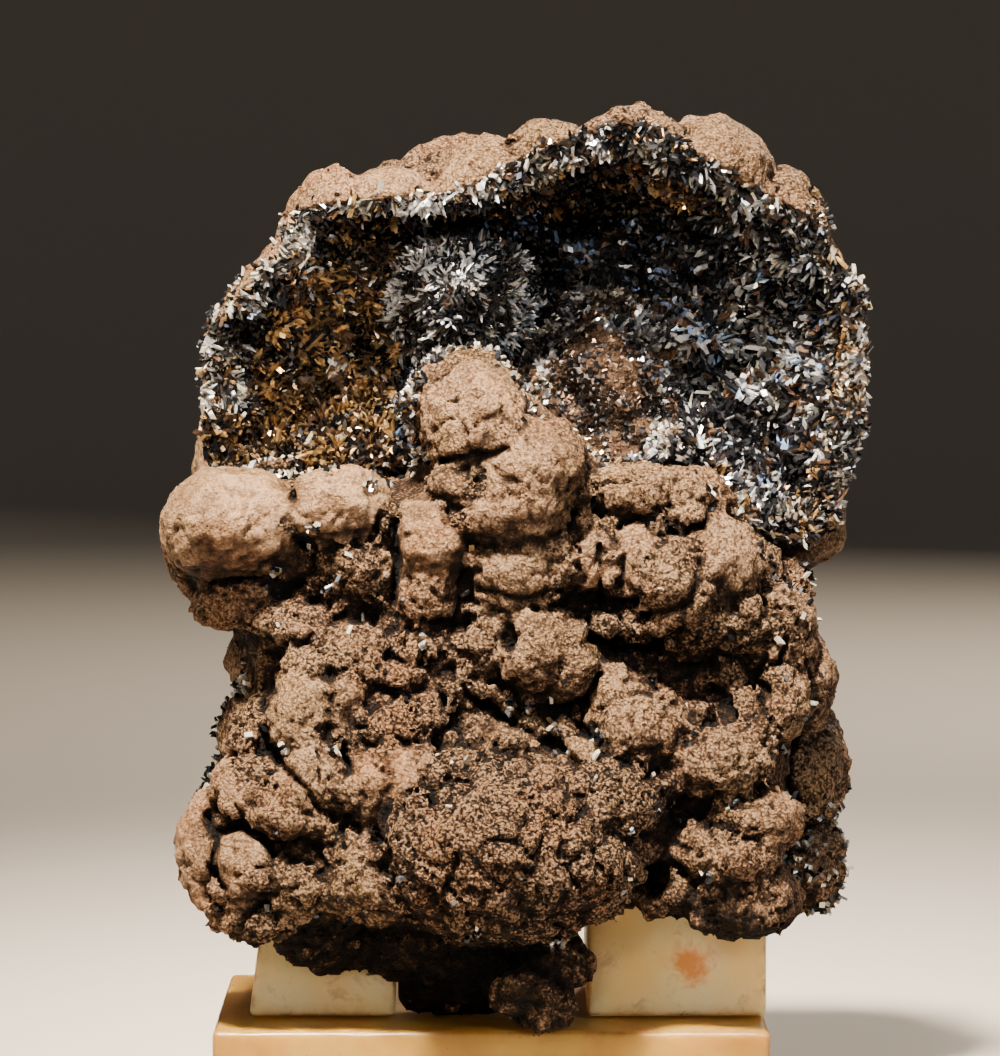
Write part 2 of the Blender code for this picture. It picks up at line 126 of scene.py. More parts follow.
# Round lumps of the front, from the top down: centre, radii, and how grainy the skin is
FRONT_LUMPS = [
    # Left lobe, with its smooth crown, hollow flank and lower lip
    ((-34.3, -10, 82.2), (10, 11, 8.3), 0.15),
    ((-35.5, -4, 78), (9, 10, 8), 0.3),
    ((-34, -11.5, 71.5), (6.2, 7, 4.2), 0.5),
    ((-26, -12.5, 69), (6.2, 7, 3.6), 0.75),
    # Second and third lobes of the same row
    ((-21, -13, 85), (7.8, 9, 6.0), 0.2),
    ((-18.5, -12, 77), (6, 9, 6.3), 0.85),
    ((-8, -16, 81), (5.8, 9, 6.8), 0.25),
    ((-9, -16.5, 74), (4.5, 7, 4.6), 0.5),
    # Raised knob over the row, with its shoulders
    ((-2.6, -15, 96.8), (7.4, 9, 7.6), 0.4),
    ((-4, -9, 98), (8, 9, 8), 0.6),
    ((4, -17, 90.5), (7.2, 9, 6.6), 0.35),
    ((8.6, -15, 90), (4.6, 8, 6.4), 0.5),
    ((3.5, -18.5, 85.5), (6.6, 9, 5.0), 0.4),
    ((-3.3, -16, 89), (5.8, 7, 3.6), 0.5),
    # Row of short columns under the knob
    ((3, -16.5, 75.5), (5.1, 8, 5.4), 0.4),
    ((9, -16.5, 77), (3.1, 6, 4.2), 0.6),
    ((14.2, -14.5, 76.5), (2.9, 6, 4.6), 0.4),
    ((20, -14, 77), (3.6, 6, 4.9), 0.4),
    # Right shoulder and knob
    ((20, -9, 86.5), (8.3, 9, 4.8), 0.5),
    ((28, -9, 86), (5.2, 8, 5), 0.6),
    ((31.3, -12, 77.5), (5.4, 9, 6.4), 0.45),
    ((25.7, -13, 74), (5.6, 8, 6), 0.7),
    ((21.5, -16.5, 70), (4.4, 6, 3.6), 0.85),
    ((30.5, -15.5, 68), (7.8, 7, 3.5), 0.9),
    ((37.5, -8, 67), (6.8, 10, 7.2), 0.6),
    ((42, -5, 60.5), (5, 10, 7), 0.6),
    ((40, -16.5, 57.5), (3.4, 6, 5.2), 0.5),
    # Middle band
    ((5.2, -17.5, 66.3), (4.8, 8, 4.6), 0.5),
    ((10, -19, 64.7), (3.8, 7, 5), 0.6),
    ((-1.5, -18.5, 66.8), (3.3, 6, 5.3), 0.75),
    ((-3.5, -18.5, 61), (3.5, 6, 3.2), 0.75),
    ((-11.5, -17.5, 66.6), (5.3, 6, 2.6), 0.85),
    ((-19, -15, 66), (4.9, 6, 2.8), 0.8),
    ((-12.7, -18, 62.3), (4.1, 6, 2.6), 0.8),
    ((-21.3, -15.5, 64), (5.7, 6, 2.6), 0.8),
    ((-24.3, -17, 58), (4.6, 8, 4.8), 0.45),
    ((-18.8, -19, 58.8), (2.2, 5, 4.2), 0.5),
    ((-12.8, -17.5, 55), (6.5, 7, 4.6), 0.85),
    ((-31, -14, 54), (2.6, 6, 4), 0.7),
    ((17, -20.5, 59.7), (3, 6, 4.2), 0.5),
    ((20.5, -21, 55.7), (5, 8, 4.9), 0.65),
    # Lower left, with the ball that shows a ring crack
    ((-30.5, -15, 47.5), (6.3, 9, 5.5), 0.4),
    ((-23, -17.5, 49), (4.4, 8, 6), 0.5),
    ((-16, -21, 48), (4.2, 8, 5.4), 0.5),
    ((-10, -20.5, 49.3), (4, 7, 4.5), 0.35),
    ((-38.3, -12, 39), (4.6, 10, 8.6), 0.3),
    ((-32.5, -17.5, 38), (6, 10, 6.1), 0.35),
    ((-26.5, -21.5, 34.8), (3, 6, 4), 0.7),
    ((-25.8, -19, 44.3), (5.4, 7, 3.8), 0.6),
    ((-32, -15, 31), (6.8, 8, 4.8), 0.7),
    # Broad belly and its beads
    ((-16.3, -21.5, 36), (6.2, 9, 6), 0.6),
    ((1, -17.5, 39.5), (16.5, 15.0, 11), 0.95),
    ((-1, -19.5, 34.0), (17.5, 12.5, 6.0), 0.95),
    ((-5.5, -20, 48), (7, 9, 4.6), 0.95),
    ((14.5, -20, 46.5), (8.3, 10, 5.7), 0.95),
    ((3.6, -23, 54.3), (3.8, 5, 2.6), 0.5),
    ((12.6, -24, 51.6), (2.9, 5, 2.9), 0.5),
    ((8, -24.5, 49.1), (3, 5, 2.5), 0.7),
    # Lower right
    ((30, -18.5, 51.2), (7.8, 8, 4.1), 0.7),
    ((35, -15.5, 44.1), (7.3, 9, 5.1), 0.55),
    ((31, -17, 39), (8.1, 8, 5.6), 0.65),
    ((33.5, -14, 33), (9, 9, 7), 0.55),
    ((23, -15.5, 34), (5.8, 7, 4.4), 0.7),
    # Dark underside, the keel on the ledge and the tip in front of it
    ((-7, -9, 26.5), (18, 9, 8), 0.7),
    ((-22, -10, 27), (9, 8, 7), 0.7),
    ((-5, -9.5, 20.5), (10.5, 6.5, 5.2), 0.6),
    ((5, -14, 22.5), (8.5, 7.5, 6), 0.5),
    ((7.5, -19, 22.5), (6.0, 5, 4.2), 0.6),
    ((3.5, -21.8, 19.5), (5.2, 2.8, 4.0), 0.6),
    ((6.6, -22.4, 16.6), (4.2, 2.8, 4.3), 0.6),
]

# Dark pockets between the lumps of the front: centre, radii
RECESSES = [
    ((-33.5, -21, 75.4), (5.5, 3.0, 1.1)),
    ((-28.8, -20, 76.4), (2.6, 4, 1.6)),
    ((-26, -19.5, 77.5), (1.5, 3, 2.4)),
    ((-6, -21, 69.8), (3.2, 4, 1.0)),
    ((14.6, -19, 71.4), (4.8, 4, 1.3)),
    ((27, -18, 62.5), (4.8, 5, 1.7)),
    ((5.2, -23, 58.8), (3.6, 4, 1.2)),
    ((21, -20, 35.2), (2.4, 3, 2.0)),
    ((26.7, -23, 45), (1.5, 3, 1.2)),
    ((2, -23, 67.6), (0.9, 3, 2.2)),
    ((-31, -16, 60), (2.6, 4, 1.8)),
    ((-25.6, -25.5, 39.3), (0.9, 2.5, 1.8)),
]

# Lumps of the flanks and of the shell round the hollow
BACK_LUMPS = [
    ((20, 8, 131), (9, 10, 9), 0.7),
    ((8, 8, 130), (8, 9, 8), 0.7),
    ((31, 10, 129), (8, 10, 9), 0.5),
    ((39, 10, 122), (8, 10, 8.5), 0.6),
    ((44, 10, 112), (8, 11, 10), 0.7),
    ((44.5, 9, 98), (7.5, 11, 10), 0.7),
    ((42, 8, 87), (7.5, 9, 8.5), 0.7),
    ((-1, 6, 127), (7, 8, 8), 0.5),
    ((-13, 6, 124), (8, 8, 7), 0.4),
    ((-22, 6, 123), (7, 8, 8), 0.45),
    ((-25, 7, 115), (7, 9, 7), 0.4),
    ((-32, 6, 106), (8, 9, 8), 0.7),
    ((-31, 6, 95), (7.5, 9, 8), 0.7),
    ((39, 6, 70), (5.5, 10, 8), 0.7),
    ((41, 4, 60), (6.5, 9, 8), 0.6),
    ((42, 8, 47), (8, 12, 11), 0.7),
    ((44, 3, 35), (6, 8, 7), 0.6),
    ((-29, 0, 57), (6.5, 11, 12), 0.6),
]

# Seeded lumps that cover the back, where nothing is known of the form
HIDDEN_LUMPS = 64
HIDDEN_RADIUS = (4.5, 8.5)
HIDDEN_STRETCH = (0.85, 1.15)
HIDDEN_DEPTH = 0.84
HIDDEN_FRONT = 8.0
HIDDEN_LOW = 43.5
HIDDEN_GRAIN = (0.25, 0.8)
HEART_REACH = 0.8

# The hollow: its rim seen from the front, clockwise from the lower left, as x, y, z
RIM = [
    (-38, 3, 90), (-39, 3, 99), (-38.5, 2, 107), (-34, 0, 113), (-29, 1, 118), (-26, 2, 124),
    (-17, 1, 126), (-5, 0, 127), (4, -1, 131), (13, -2, 135), (21, -1, 136), (28, 1, 132),
    (34, 3, 128), (42, 4, 124), (48, 4, 117), (51, 4, 107), (50.5, 3, 97), (48.5, 4, 87),
    (43, 4, 80), (36, 3, 82), (28, 2, 90), (19, 1.5, 91), (10, 1.5, 90), (0, 1.5, 90),
    (-10, 1.5, 90), (-19, 1.5, 90), (-28, 2, 91),
]
POLE = np.array((17.0, 27.0, 117.0))
WALL_ROUNDNESS = 2.2
WALL_STEEPNESS = 0.8
STEEPEST_WALL = 4.0
HOLLOW_BLEND = 1.2

# The row of small lumps that backs the rim
RIM_LUMPS = 84
RIM_LUMP_BACK = 5.0
RIM_LUMP_INWARD = 3.0
RIM_LUMP_RADII = (4.2, 4.5, 4.2)
RIM_LUMP_GRAIN = 0.6

# Crystal mounds in the hollow: x, z, radius, and how far they stand out
MOUNDS = [
    (-4, 112.5, 10.0, 18.0),
    (15, 102, 11.0, 12.0),
    (27, 109, 6.5, 7.0),
    (34, 96, 7.0, 5.0),
    (-24, 104, 8.0, 3.5),
    (3, 97, 6.0, 6.0),
]
MOUND_ROUNDNESS = 0.7
MOUND_FADE = 6
MOUND_INSET = 2.2

# The stand's blocks: ranges in x, y and z, and how far the left side leans in at the top
STAND = {
    "stand_base": ((-37.5, 37.5), (-19.5, 30.5), (0.0, 15.0), 0.0),
    "stand_back_left": ((-33.0, -13.0), (-9.5, 20.5), (15.3, 35.0), 2.5),
    "stand_back_right": ((13.0, 37.5), (-9.5, 20.5), (15.3, 35.0), 0.0),
}
STAND_GAP = 0.3
BLOCK_RADIUS = 0.9

# The acrylic's colours: paler uprights as painted light, a deeper base as painted shade; and the
# orange stain on the right upright
UPRIGHT_PAINTED_LIGHT_TONES = [(0.35, (1.0, 0.62, 0.22)), (0.62, (1.0, 0.79, 0.43))]
BASE_PAINTED_SHADE_TONES = [(0.35, (0.31, 0.15, 0.016)), (0.62, (0.50, 0.29, 0.050))]
BROWN_SPOTS = (0.50, 0.20, 0.06, 1)
DIRT = (0.22, 0.09, 0.03, 1)
STAIN = (0.72, 0.27, 0.045, 1)
STAIN_PLACE = (27.0, -9.5, 22.8)
STAIN_SIZE = 4.2

# Cracks in the rock's front as x, z points, with their width and depth
CRACKS = [
    ([(-12.9, 83.1), (-12.5, 78.4), (-13.1, 73.0)], 0.5, 1.3),
    ([(-38.0, 43.8), (-36.9, 40.4), (-37.3, 37.4), (-35.8, 34.5)], 0.6, 1.6),
    ([(-37.0, 41.4), (-33.4, 42.9), (-30.4, 41.7), (-29.1, 39.0)], 0.6, 1.6),
    ([(-29.4, 53.2), (-25.4, 48.8), (-21.1, 44.0)], 0.5, 1.2),
    ([(-6.1, 91.7), (-2.8, 92.3), (-0.1, 92.7), (2.5, 93.5)], 0.5, 1.4),
    ([(14.7, 80.4), (14.5, 76.4), (14.9, 72.4)], 0.5, 1.2),
    ([(17.5, 78.4), (17.3, 74.3)], 0.5, 1.0),
    ([(-1.5, 74.6), (3.9, 73.1), (9.2, 74.6)], 0.5, 1.0),
    ([(-2.8, 60.1), (1.2, 57.3), (7.2, 54.2), (11.1, 51.6)], 0.8, 1.8),
    ([(-19.4, 53.9), (-18.7, 50.7)], 0.6, 1.4),
    ([(27.9, 78.3), (26.6, 72.9), (19.9, 70.2)], 0.7, 1.4),
    ([(13.2, 67.7), (17.2, 65.7), (22.6, 66.2)], 0.8, 1.6),
]
CRACK_BACK = 4.0

# Small pits in smooth skin: x, z, radius, depth
PITS = [
    (-26.1, 86.3, 0.9, 1.0),
    (-41.8, 82.3, 0.5, 0.8),
    (-25.5, 80.3, 0.9, 1.0),
    (-2.8, 83.6, 0.6, 0.8),
    (9.2, 78.3, 0.7, 0.9),
]

# Relief of the skin: how deep it reaches, how places are bent, and its cells' sizes and shifts
RELIEF_REACH = 2.2
RELIEF_BEND = 0.9
NODULES = (4.6, 0.1)
NODULE_HEIGHT = 1.5
BEADS = (2.3, 0.37)
BEAD_HEIGHT = 0.9
GRAINS = (1.25, 0.71)
GRAIN_HEIGHT = (0.2, 0.6)
SWELLS = (3.1, 0.9)
SWELL_HEIGHT = 0.55
CREASES = (8.5, 0.53)
CREASE_WIDTH = 0.045
PIT_DEPTH = 1.3

# Painted shade: a place is painted darker where rock crowds round it within two reaches, and where it
# lies behind a bulge
PAINTED_SHADE_BASE = 0.46
CLOSE_REACH = 1.3
CLOSE_SHARE = 1.1
WIDE_REACH = 4.5
BULGE_SHARE = 0.32

# Stage, in metres: a floor that curves up into a wall all round
FLOOR_RADIUS = 1.1
FLOOR_SIDES = 96
WALL_CURVE = 0.9
CURVE_STEPS = 12
WALL_TOP = 2.2
STAGE_COLOUR = (0.40, 0.355, 0.30)
SKY_COLOUR = (1.0, 0.96, 0.92)
SKY_STRENGTH = 0.08

# Lights, in metres: place, what they aim at, size, power, colour and spread in degrees
AIM = (-0.010, 0.0, 0.105)
WARM = (1.0, 0.88, 0.74)
LIGHTS = {
    "key": ((-0.12, -0.33, 0.79), AIM, 0.10, 1.95, WARM, 30.0),
    "fill": ((0.55, -0.55, 0.40), AIM, 0.3, 3.2, (0.80, 0.88, 1.0), 180.0),
    "front": ((-0.20, -0.72, 0.36), (0.002, 0.01, 0.112), 0.10, 0.07, WARM, 17.0),
    "rim": ((0.25, 0.65, 0.55), AIM, 0.3, 9.0, WARM, 180.0),
}

# Camera: metres, degrees above level, and millimetres of lens and sensor
CAMERA_TARGET = (0.0012, -0.010, 0.082)
CAMERA_DISTANCE = 0.7
CAMERA_RISE = 4.0
CAMERA_LENS = 176.8
CAMERA_SENSOR = 36.0

# Where the coarser back of the rock begins, the size of its faces, and where the rock is split
BACK_FROM = 6.0
BACK_SIZE = 0.85
ROCK_SPLITS = (64.0, 4.0, 2.0)

# Rock under the crust: how far out it reaches, how near the hollow's wall, the size of its faces
COVERED = (0.93, 2.5, 1.9)

# Colours, from the deepest crevice to the palest bump, at their place on a scale from 0 to 1 that
# carries the painted shade
ROCK_TONES = [
    (0.0, (0.003, 0.002, 0.0012)),
    (0.30, (0.014, 0.0075, 0.0038)),
    (0.55, (0.052, 0.027, 0.013)),
    (0.78, (0.150, 0.084, 0.044)),
    (1.0, (0.350, 0.222, 0.130)),
]

# Slight shifts of hue from patch to patch
ROCK_HUES = [(0.32, (1.0, 0.84, 0.70)), (0.5, (0.95, 0.93, 0.90)), (0.68, (1.0, 0.98, 0.84))]

# Painted shadow under the rock: its top, how much higher it is at the right, and how dark it is; then
# the painted shade on sides that face down
UNDER_TOP = 31.0
UNDER_RIGHT = 5.0
UNDER_PAINTED_SHADOW = 0.44
SHADY_SIDE = 0.32

# The crust's ground: in general, at the left, on the second mound and at the rim
GROUND = (0.020, 0.016, 0.014)
GOLD_GROUND = (0.110, 0.062, 0.024)
RED_GROUND = (0.045, 0.023, 0.014)
RIM_GROUND = (0.085, 0.053, 0.033)

# The crust's mesh, its rise over the wall, its bumps' heights, and its bare brown mound
CRUST_SPOKES = 280
CRUST_RINGS = 84
CRUST_RISE = 2.8
CRUST_BUMPS = (2.0, 1.4, 0.5)
CRUST_LIP = 0.985
BARE_MOUND = (15.5, 98.5, 6.5, 8.5)

# Crystals: how many, the size of clusters that share a tint, and how deep their feet stand
CRYSTALS = 24000
EDGE_CRYSTALS = 3600
CLUSTER = 3.8
CLUSTER_MIX = 0.17
SINK = 0.35

# Bright crystal flecks on the brown front, as x, z, the crystals in each, and the loose ones
FLECKS = [
    (-28.8, 76.3), (-22.2, 74.3), (-23.5, 82.6), (-16.1, 88.3), (-21.5, 90.6), (-9.5, 67.6),
    (-27.3, 53.7), (-20.9, 53.4), (18.2, 42.9), (22.6, 46.0), (8.6, 27.4), (28.7, 36.9),
    (32.0, 46.0), (40.6, 74.9), (29.9, 87.6), (2.5, 58.8), (5.2, 58.2), (8.6, 56.1),
    (13.9, 54.8), (-2.2, 28.8),
]
FLECK_CRYSTALS = 7
LOOSE_FLECKS = 160

# Painted light on the crystals: brighter by zone and in patches, and painted shade on the sill behind
# the left lobes
ZONE_PAINTED_LIGHT = {"mound": 2.7, "left": 1.6, "right": 1.35}
PATCH_PAINTED_LIGHT = ((0.8, 9.0), (0.5, 4.0))
SILL_PAINTED_SHADE = 0.65
TINTS = {
    "black": (0.016, 0.016, 0.018),
    "steel": (0.20, 0.20, 0.21),
    "silver": (0.60, 0.60, 0.60),
    # A pale cream tint as painted glints, standing in for reflected light
    "painted_glint": (0.92, 0.85, 0.68),
    "gold": (0.50, 0.30, 0.115),
    "brown": (0.10, 0.058, 0.033),
    "dust": (0.13, 0.082, 0.052),
    # A painted bluish reflection
    "painted_blue_glint": (0.25, 0.36, 0.62),
}

# Each zone of the hollow: its crystals' lengths, widths and mix of tints
ZONES = {
    "left": ((0.8, 1.8), (0.35, 0.7), {"gold": 5, "brown": 4, "painted_glint": 0.5, "black": 3}),
    "mound": ((0.7, 1.6), (0.25, 0.5),
              {"steel": 2, "silver": 1.5, "painted_glint": 3.5, "black": 6, "brown": 2}),
    "second": ((0.4, 1.1), (0.35, 0.65), {"steel": 2, "painted_glint": 1.6, "brown": 3, "black": 3}),
    "right": ((0.8, 2.4), (0.32, 0.85),
              {"black": 9, "steel": 2, "silver": 1.2, "painted_glint": 1.6, "painted_blue_glint": 0.5, "brown": 1.5}),
    "grains": ((0.15, 0.45), (0.45, 0.9), {"brown": 4, "dust": 3, "black": 2}),
    "rim": ((0.7, 1.8), (0.3, 0.65),
            {"silver": 1.4, "painted_glint": 3.5, "steel": 2, "black": 6, "gold": 0.8, "brown": 1.5}),
    "ceiling": ((0.5, 1.2), (0.4, 0.7), {"gold": 1.5, "brown": 3, "black": 4, "painted_glint": 0.4}),
    # The cave's mix leans to black as painted shade for its depths
    "cave": ((0.6, 1.5), (0.4, 0.75), {"black": 9, "steel": 1.5, "painted_blue_glint": 0.7, "brown": 1}),
}

# Crystals on the rock's sides: side, how far out, lowest and highest z, front and back y, density
SIDE_PATCHES = [
    (-1, 26, 44, 70, -7, 5, 0.25),
    (1, 38, 26, 44, -8, 8, 0.5),
    (1, 37, 66, 80, -6, 7, 0.3),
]

# Lengths, widths and thicknesses of the crystals on the rock
EDGE_SIZES = ((0.3, 1.0), (0.3, 0.8), (0.25, 0.6))

# The eight corners of a cell
CORNERS = list(itertools.product((0, 1), repeat=3))


# Noise in numpy

TABLE = 32
LATTICE = np.random.default_rng(SEED).random((TABLE ** 3, 4), dtype=np.float32)


def table_key(cell):
    """The place in the random table of each whole-number cell."""
    cell = cell % TABLE
    return (cell[:, 0] * TABLE + cell[:, 1]) * TABLE + cell[:, 2]


def corner_weights(part, kind):
    """Each corner of a cell with its share at places given as parts of the cell."""
    for corner in CORNERS:
        weight = np.ones(len(part), kind)
        for axis, side in enumerate(corner):
            weight *= part[:, axis] if side else 1 - part[:, axis]
        yield corner, weight


def smooth_noise(points, size, layer=0, shift=0.0):
    """Smooth noise between -1 and 1 whose bumps are about the given size."""
    scaled = points / size + shift
    base = np.floor(scaled).astype(np.int32)
    part = (scaled - base).astype(np.float32)
    part = part * part * (3 - 2 * part)
    total = np.zeros(len(points), np.float32)
    for corner, weight in corner_weights(part, np.float32):
        total += weight * LATTICE[table_key(base + np.array(corner, np.int32)), layer]
    return total * 2 - 1


def nearby_seeds(scaled):
    """Scattered seed points round each place, with their squared distances and random values."""
    base = np.floor(scaled - 0.5).astype(np.int32)
    for corner in CORNERS:
        cell = base + np.array(corner, np.int32)
        values = LATTICE[table_key(cell)]
        seeds = cell + values[:, :3]
        yield seeds, ((seeds - scaled) ** 2).sum(axis=1), values[:, 3]


def scattered_cells(points, size, shift=0.0):
    """Distances, in cells, to the nearest and second nearest of scattered seed points."""
    nearest = np.full(len(points), 9.0, np.float32)
    second = nearest
    for _, away, _ in nearby_seeds(points / size + shift):
        away = away.astype(np.float32)
        second = np.minimum(second, np.maximum(nearest, away))
        nearest = np.minimum(nearest, away)
    return np.sqrt(nearest), np.sqrt(second)


def pillows(points, size, shift):
    """Rounded cells about the given size, with sharp creases between them."""
    nearest, second = scattered_cells(points, size, shift)
    return np.sqrt(np.clip(1.7 * (second - nearest), 0, 1)) - 0.75


def nearest_seed(points, size):
    """The nearest scattered seed point to each place, and a random value of its own."""
    best = np.full(len(points), 9.0)
    seeds = np.zeros((len(points), 3))
    own = np.zeros(len(points))
    for seed, away, value in nearby_seeds(points / size):
        closer = away < best
        best[closer] = away[closer]
        seeds[closer] = seed[closer]
        own[closer] = value[closer]
    return seeds * size, own


def spline_weights(count, spacing):
    """Cubic spline weights that spread a coarse row of values over the grid's steps."""
    along = np.arange(count) * GRID_STEP / spacing
    base = np.floor(along).astype(int)
    t = along - base
    weights = np.zeros((count, base[-1] + 4), np.float32)
    rows = np.arange(count)
    weights[rows, base] = (1 - t) ** 3 / 6
    weights[rows, base + 1] = (3 * t ** 3 - 6 * t ** 2 + 4) / 6
    weights[rows, base + 2] = (-3 * t ** 3 + 3 * t ** 2 + 3 * t + 1) / 6
    weights[rows, base + 3] = t ** 3 / 6
    return weights


def grid_noise(shape, spacing, rng):
    """Smooth noise over the whole grid, from a coarse block of random values."""
    sides = [spline_weights(count, spacing) for count in shape]
    coarse = rng.uniform(-1, 1, [side.shape[1] for side in sides]).astype(np.float32)
    wide = np.tensordot(sides[0], coarse, axes=(1, 0))
    return (sides[1] @ wide) @ sides[2].T


# The rock as a field of distances: negative inside

def join(field, part, distance, blend):
    """Joins a shape to the field with a rounded crease."""
    old = field[part]
    blend = np.float32(blend)
    mix = np.clip(0.5 + 0.5 * (old - distance) / blend, 0, 1)
    field[part] = old * (1 - mix) + distance * mix - blend * mix * (1 - mix)


def lump_distance(grid, centre, radii, margin=3.0):
    """A window of the grid round a lump, and the distances to the lump's skin in it."""
    part, offsets = grid.local(centre, np.array(radii) + margin)
    near = np.zeros((), np.float32)
    slope = np.zeros((), np.float32)
    for offset, radius in zip(offsets, radii):
        scaled = offset / np.float32(radius)
        near = near + scaled * scaled
        scaled = scaled / np.float32(radius)
        slope = slope + scaled * scaled
    near = np.sqrt(near)
    return part, near * (near - 1) / np.sqrt(slope + 1e-9)


def join_lumps(field, grain, grid, lumps):
    """Joins lumps to a field, and sets the grain of the skin where they stand out."""
    for centre, radii, rough in lumps:
        part, distance = lump_distance(grid, centre, radii)
        if rough is not None:
            grain[part] = np.where(distance < field[part], np.float16(rough), grain[part])
        join(field, part, distance, LUMP_BLEND)


def running_mean(values, half, axis):
    """The mean of each value and its neighbours along an axis, half to each side."""
    pad = [(0, 0)] * values.ndim
    pad[axis] = (half + 1, half)
    total = np.cumsum(np.pad(values, pad), axis=axis, dtype=np.float64)
    steps = np.arange(values.shape[axis])
    upper = np.take(total, steps + 2 * half + 1, axis=axis)
    return (upper - np.take(total, steps, axis=axis)) / (2 * half + 1)


def blurred(sheet, reach):
    """A flat sheet of values, blurred over a reach in millimetres."""
    half = max(1, round(reach / GRID_STEP))
    for axis in (0, 1) * 3:
        sheet = running_mean(sheet, half, axis)
    return sheet


def front_sheet(field, grid):
    """A smooth sheet through the front of a field: its depth over the front view."""
    solid = field < 0
    covered = solid.any(axis=1).astype(np.float64)
    front = GRID_LOW[1] + GRID_STEP * solid.argmax(axis=1)
    share = blurred(covered, SHEET_BLUR)
    sheet = blurred(front * covered, SHEET_BLUR) / np.maximum(share, 1e-6)
    fall = SHEET_EDGE[1] * np.clip(SHEET_EDGE[0] - share, 0, 1)
    top, slope, most = UNDERCUT
    sheet += np.clip((top - grid.axes[2][None, :]) * slope, 0, most)
    return sheet, fall


def extra_domes(sheet, fall, rng):
    """Small seeded domes that fill the sheet between the named lumps."""
    inner = np.argwhere(fall == 0)
    taken = []
    domes = []
    while len(domes) < EXTRA_DOMES:
        i, k = inner[rng.integers(len(inner))]
        x = GRID_LOW[0] + GRID_STEP * i
        z = GRID_LOW[2] + GRID_STEP * k
        radius = rng.uniform(*EXTRA_RADIUS)
        if any(math.hypot(x - u, z - v) < EXTRA_SPACING * (radius + other) for u, v, other in taken):
            continue
        taken.append((x, z, radius))
        radii = radius * rng.uniform(*EXTRA_STRETCH, size=3)
        y = sheet[i, k] - EXTRA_RISE * radius + radii[1]
        domes.append(((x, y, z), radii, rng.uniform(*EXTRA_GRAIN)))
    clear_x, clear_z, reach = SMOOTH_CROWN
    return [dome for dome in domes if math.hypot(dome[0][0] - clear_x, dome[0][2] - clear_z) > reach]


def grid_column(x, z):
    """The grid's column at a place of the front view."""
    return int((x - GRID_LOW[0]) / GRID_STEP), int((z - GRID_LOW[2]) / GRID_STEP)


def named_domes(sheet, fall):
    """The front's named lumps as domes that rise from the sheet."""
    domes = []
    for (x, y, z), (wide, _, high), rough in FRONT_LUMPS:
        ends = [grid_column(x + side * wide, z) for side in (-1, 0, 1)]
        ends += [grid_column(x, z + side * high) for side in (-1, 1)]
        spread = 1 + DOME_SPREAD * all(fall[end] == 0 for end in ends)
        deep = spread * (wide + high) / 2
        rise = DOME_RISE[0] * min(wide, high) + DOME_RISE[1]
        seat = sheet[grid_column(x, z)] - rise + deep
        y = max(y + DOME_SHIFT[0], min(y + DOME_SHIFT[1], seat))
        domes.append(((x, y, z), (spread * wide, deep, spread * high), rough))
    return domes


def make_front(grid, rng):
    """The front: cores and a set-back body, a sheet that closes the gaps, and domes on it."""
    cores = [(centre, radii, None) for centre, radii in FRONT_CORES]
    body = []
    for (x, y, z), radii, _ in FRONT_LUMPS:
        body.append(((x, y + BODY_BACK, z), [BODY_SIZE * r for r in radii], PLAIN_GRAIN))
    grain = np.full(grid.shape, PLAIN_GRAIN, np.float16)
    field = np.full(grid.shape, FAR, np.float32)
    join_lumps(field, grain, grid, cores + FRONT_LUMPS)
    sheet, fall = front_sheet(field, grid)
    field[:] = FAR
    grain[:] = PLAIN_GRAIN
    join_lumps(field, grain, grid, cores + body)
    along = grid.axes[1][None, :, None]
    depth = (sheet + SHEET_BACK + fall).astype(np.float32)[:, None, :]
    distance = np.maximum(np.float32(SHEET_SLOPE) * (depth - along), along - np.float32(SHEET_END))
    join(field, np.s_[:, :, :], distance, SHEET_BLEND)
    join_lumps(field, grain, grid, extra_domes(sheet, fall, rng) + named_domes(sheet, fall))
    return field, grain


def carve_recesses(field, grid):
    """Hollows out the dark pockets between the front's lumps."""
    for centre, radii in RECESSES:
        part, distance = lump_distance(grid, centre, radii)
        inverse = -field[part]
        join(inverse, np.s_[:, :, :], distance, RECESS_BLEND)
        field[part] = -inverse


def turned(line, axis):
    """A row of values turned to run along one of the grid's axes."""
    return line.reshape([-1 if n == axis else 1 for n in range(3)])


class Grid:
    """Evenly spaced points in a box, bent a little so that no lump is a plain ellipsoid."""

    def __init__(self, rng):
        self.shape = tuple(int(n) for n in np.ceil((GRID_HIGH - GRID_LOW) / GRID_STEP))
        self.axes = [low + GRID_STEP * np.arange(n) for low, n in zip(GRID_LOW, self.shape)]
        self.axes = [axis.astype(np.float32) for axis in self.axes]
        self.bend = []
        for _ in range(3):
            self.bend.append(sum(amount * grid_noise(self.shape, size, rng) for amount, size in BENDS))

    def window(self, low, high):
        """Slices of the grid that cover a box."""
        first = np.floor((np.array(low) - GRID_LOW) / GRID_STEP).astype(int)
        last = np.ceil((np.array(high) - GRID_LOW) / GRID_STEP).astype(int) + 1
        first = np.clip(first, 0, np.array(self.shape) - 1)
        last = np.clip(last, first + 1, self.shape)
        return tuple(slice(a, b) for a, b in zip(first, last))

    def local(self, centre, reach):
        """A window round a centre, and the bent offsets from it along each axis."""
        part = self.window(np.array(centre) - reach, np.array(centre) + reach)
        offsets = []
        for axis in range(3):
            offset = turned(self.axes[axis][part[axis]], axis) - np.float32(centre[axis])
            offsets.append(offset + self.bend[axis][part])
        return part, offsets

    def points(self, flat):
        """The places of grid points given by their flat index."""
        where = np.unravel_index(flat, self.shape)
        return np.stack([self.axes[i][where[i]] for i in range(3)], axis=1)


def inside_heart(point, own_centre):
    """Whether a point lies inside the rock's heart, leaving out the core that it stands on."""
    for centre, radii in FRONT_CORES + SHELL_CORES:
        if centre != own_centre:
            if sum(((p - c) / r) ** 2 for p, c, r in zip(point, centre, radii)) < HEART_REACH:
                return True
    return False


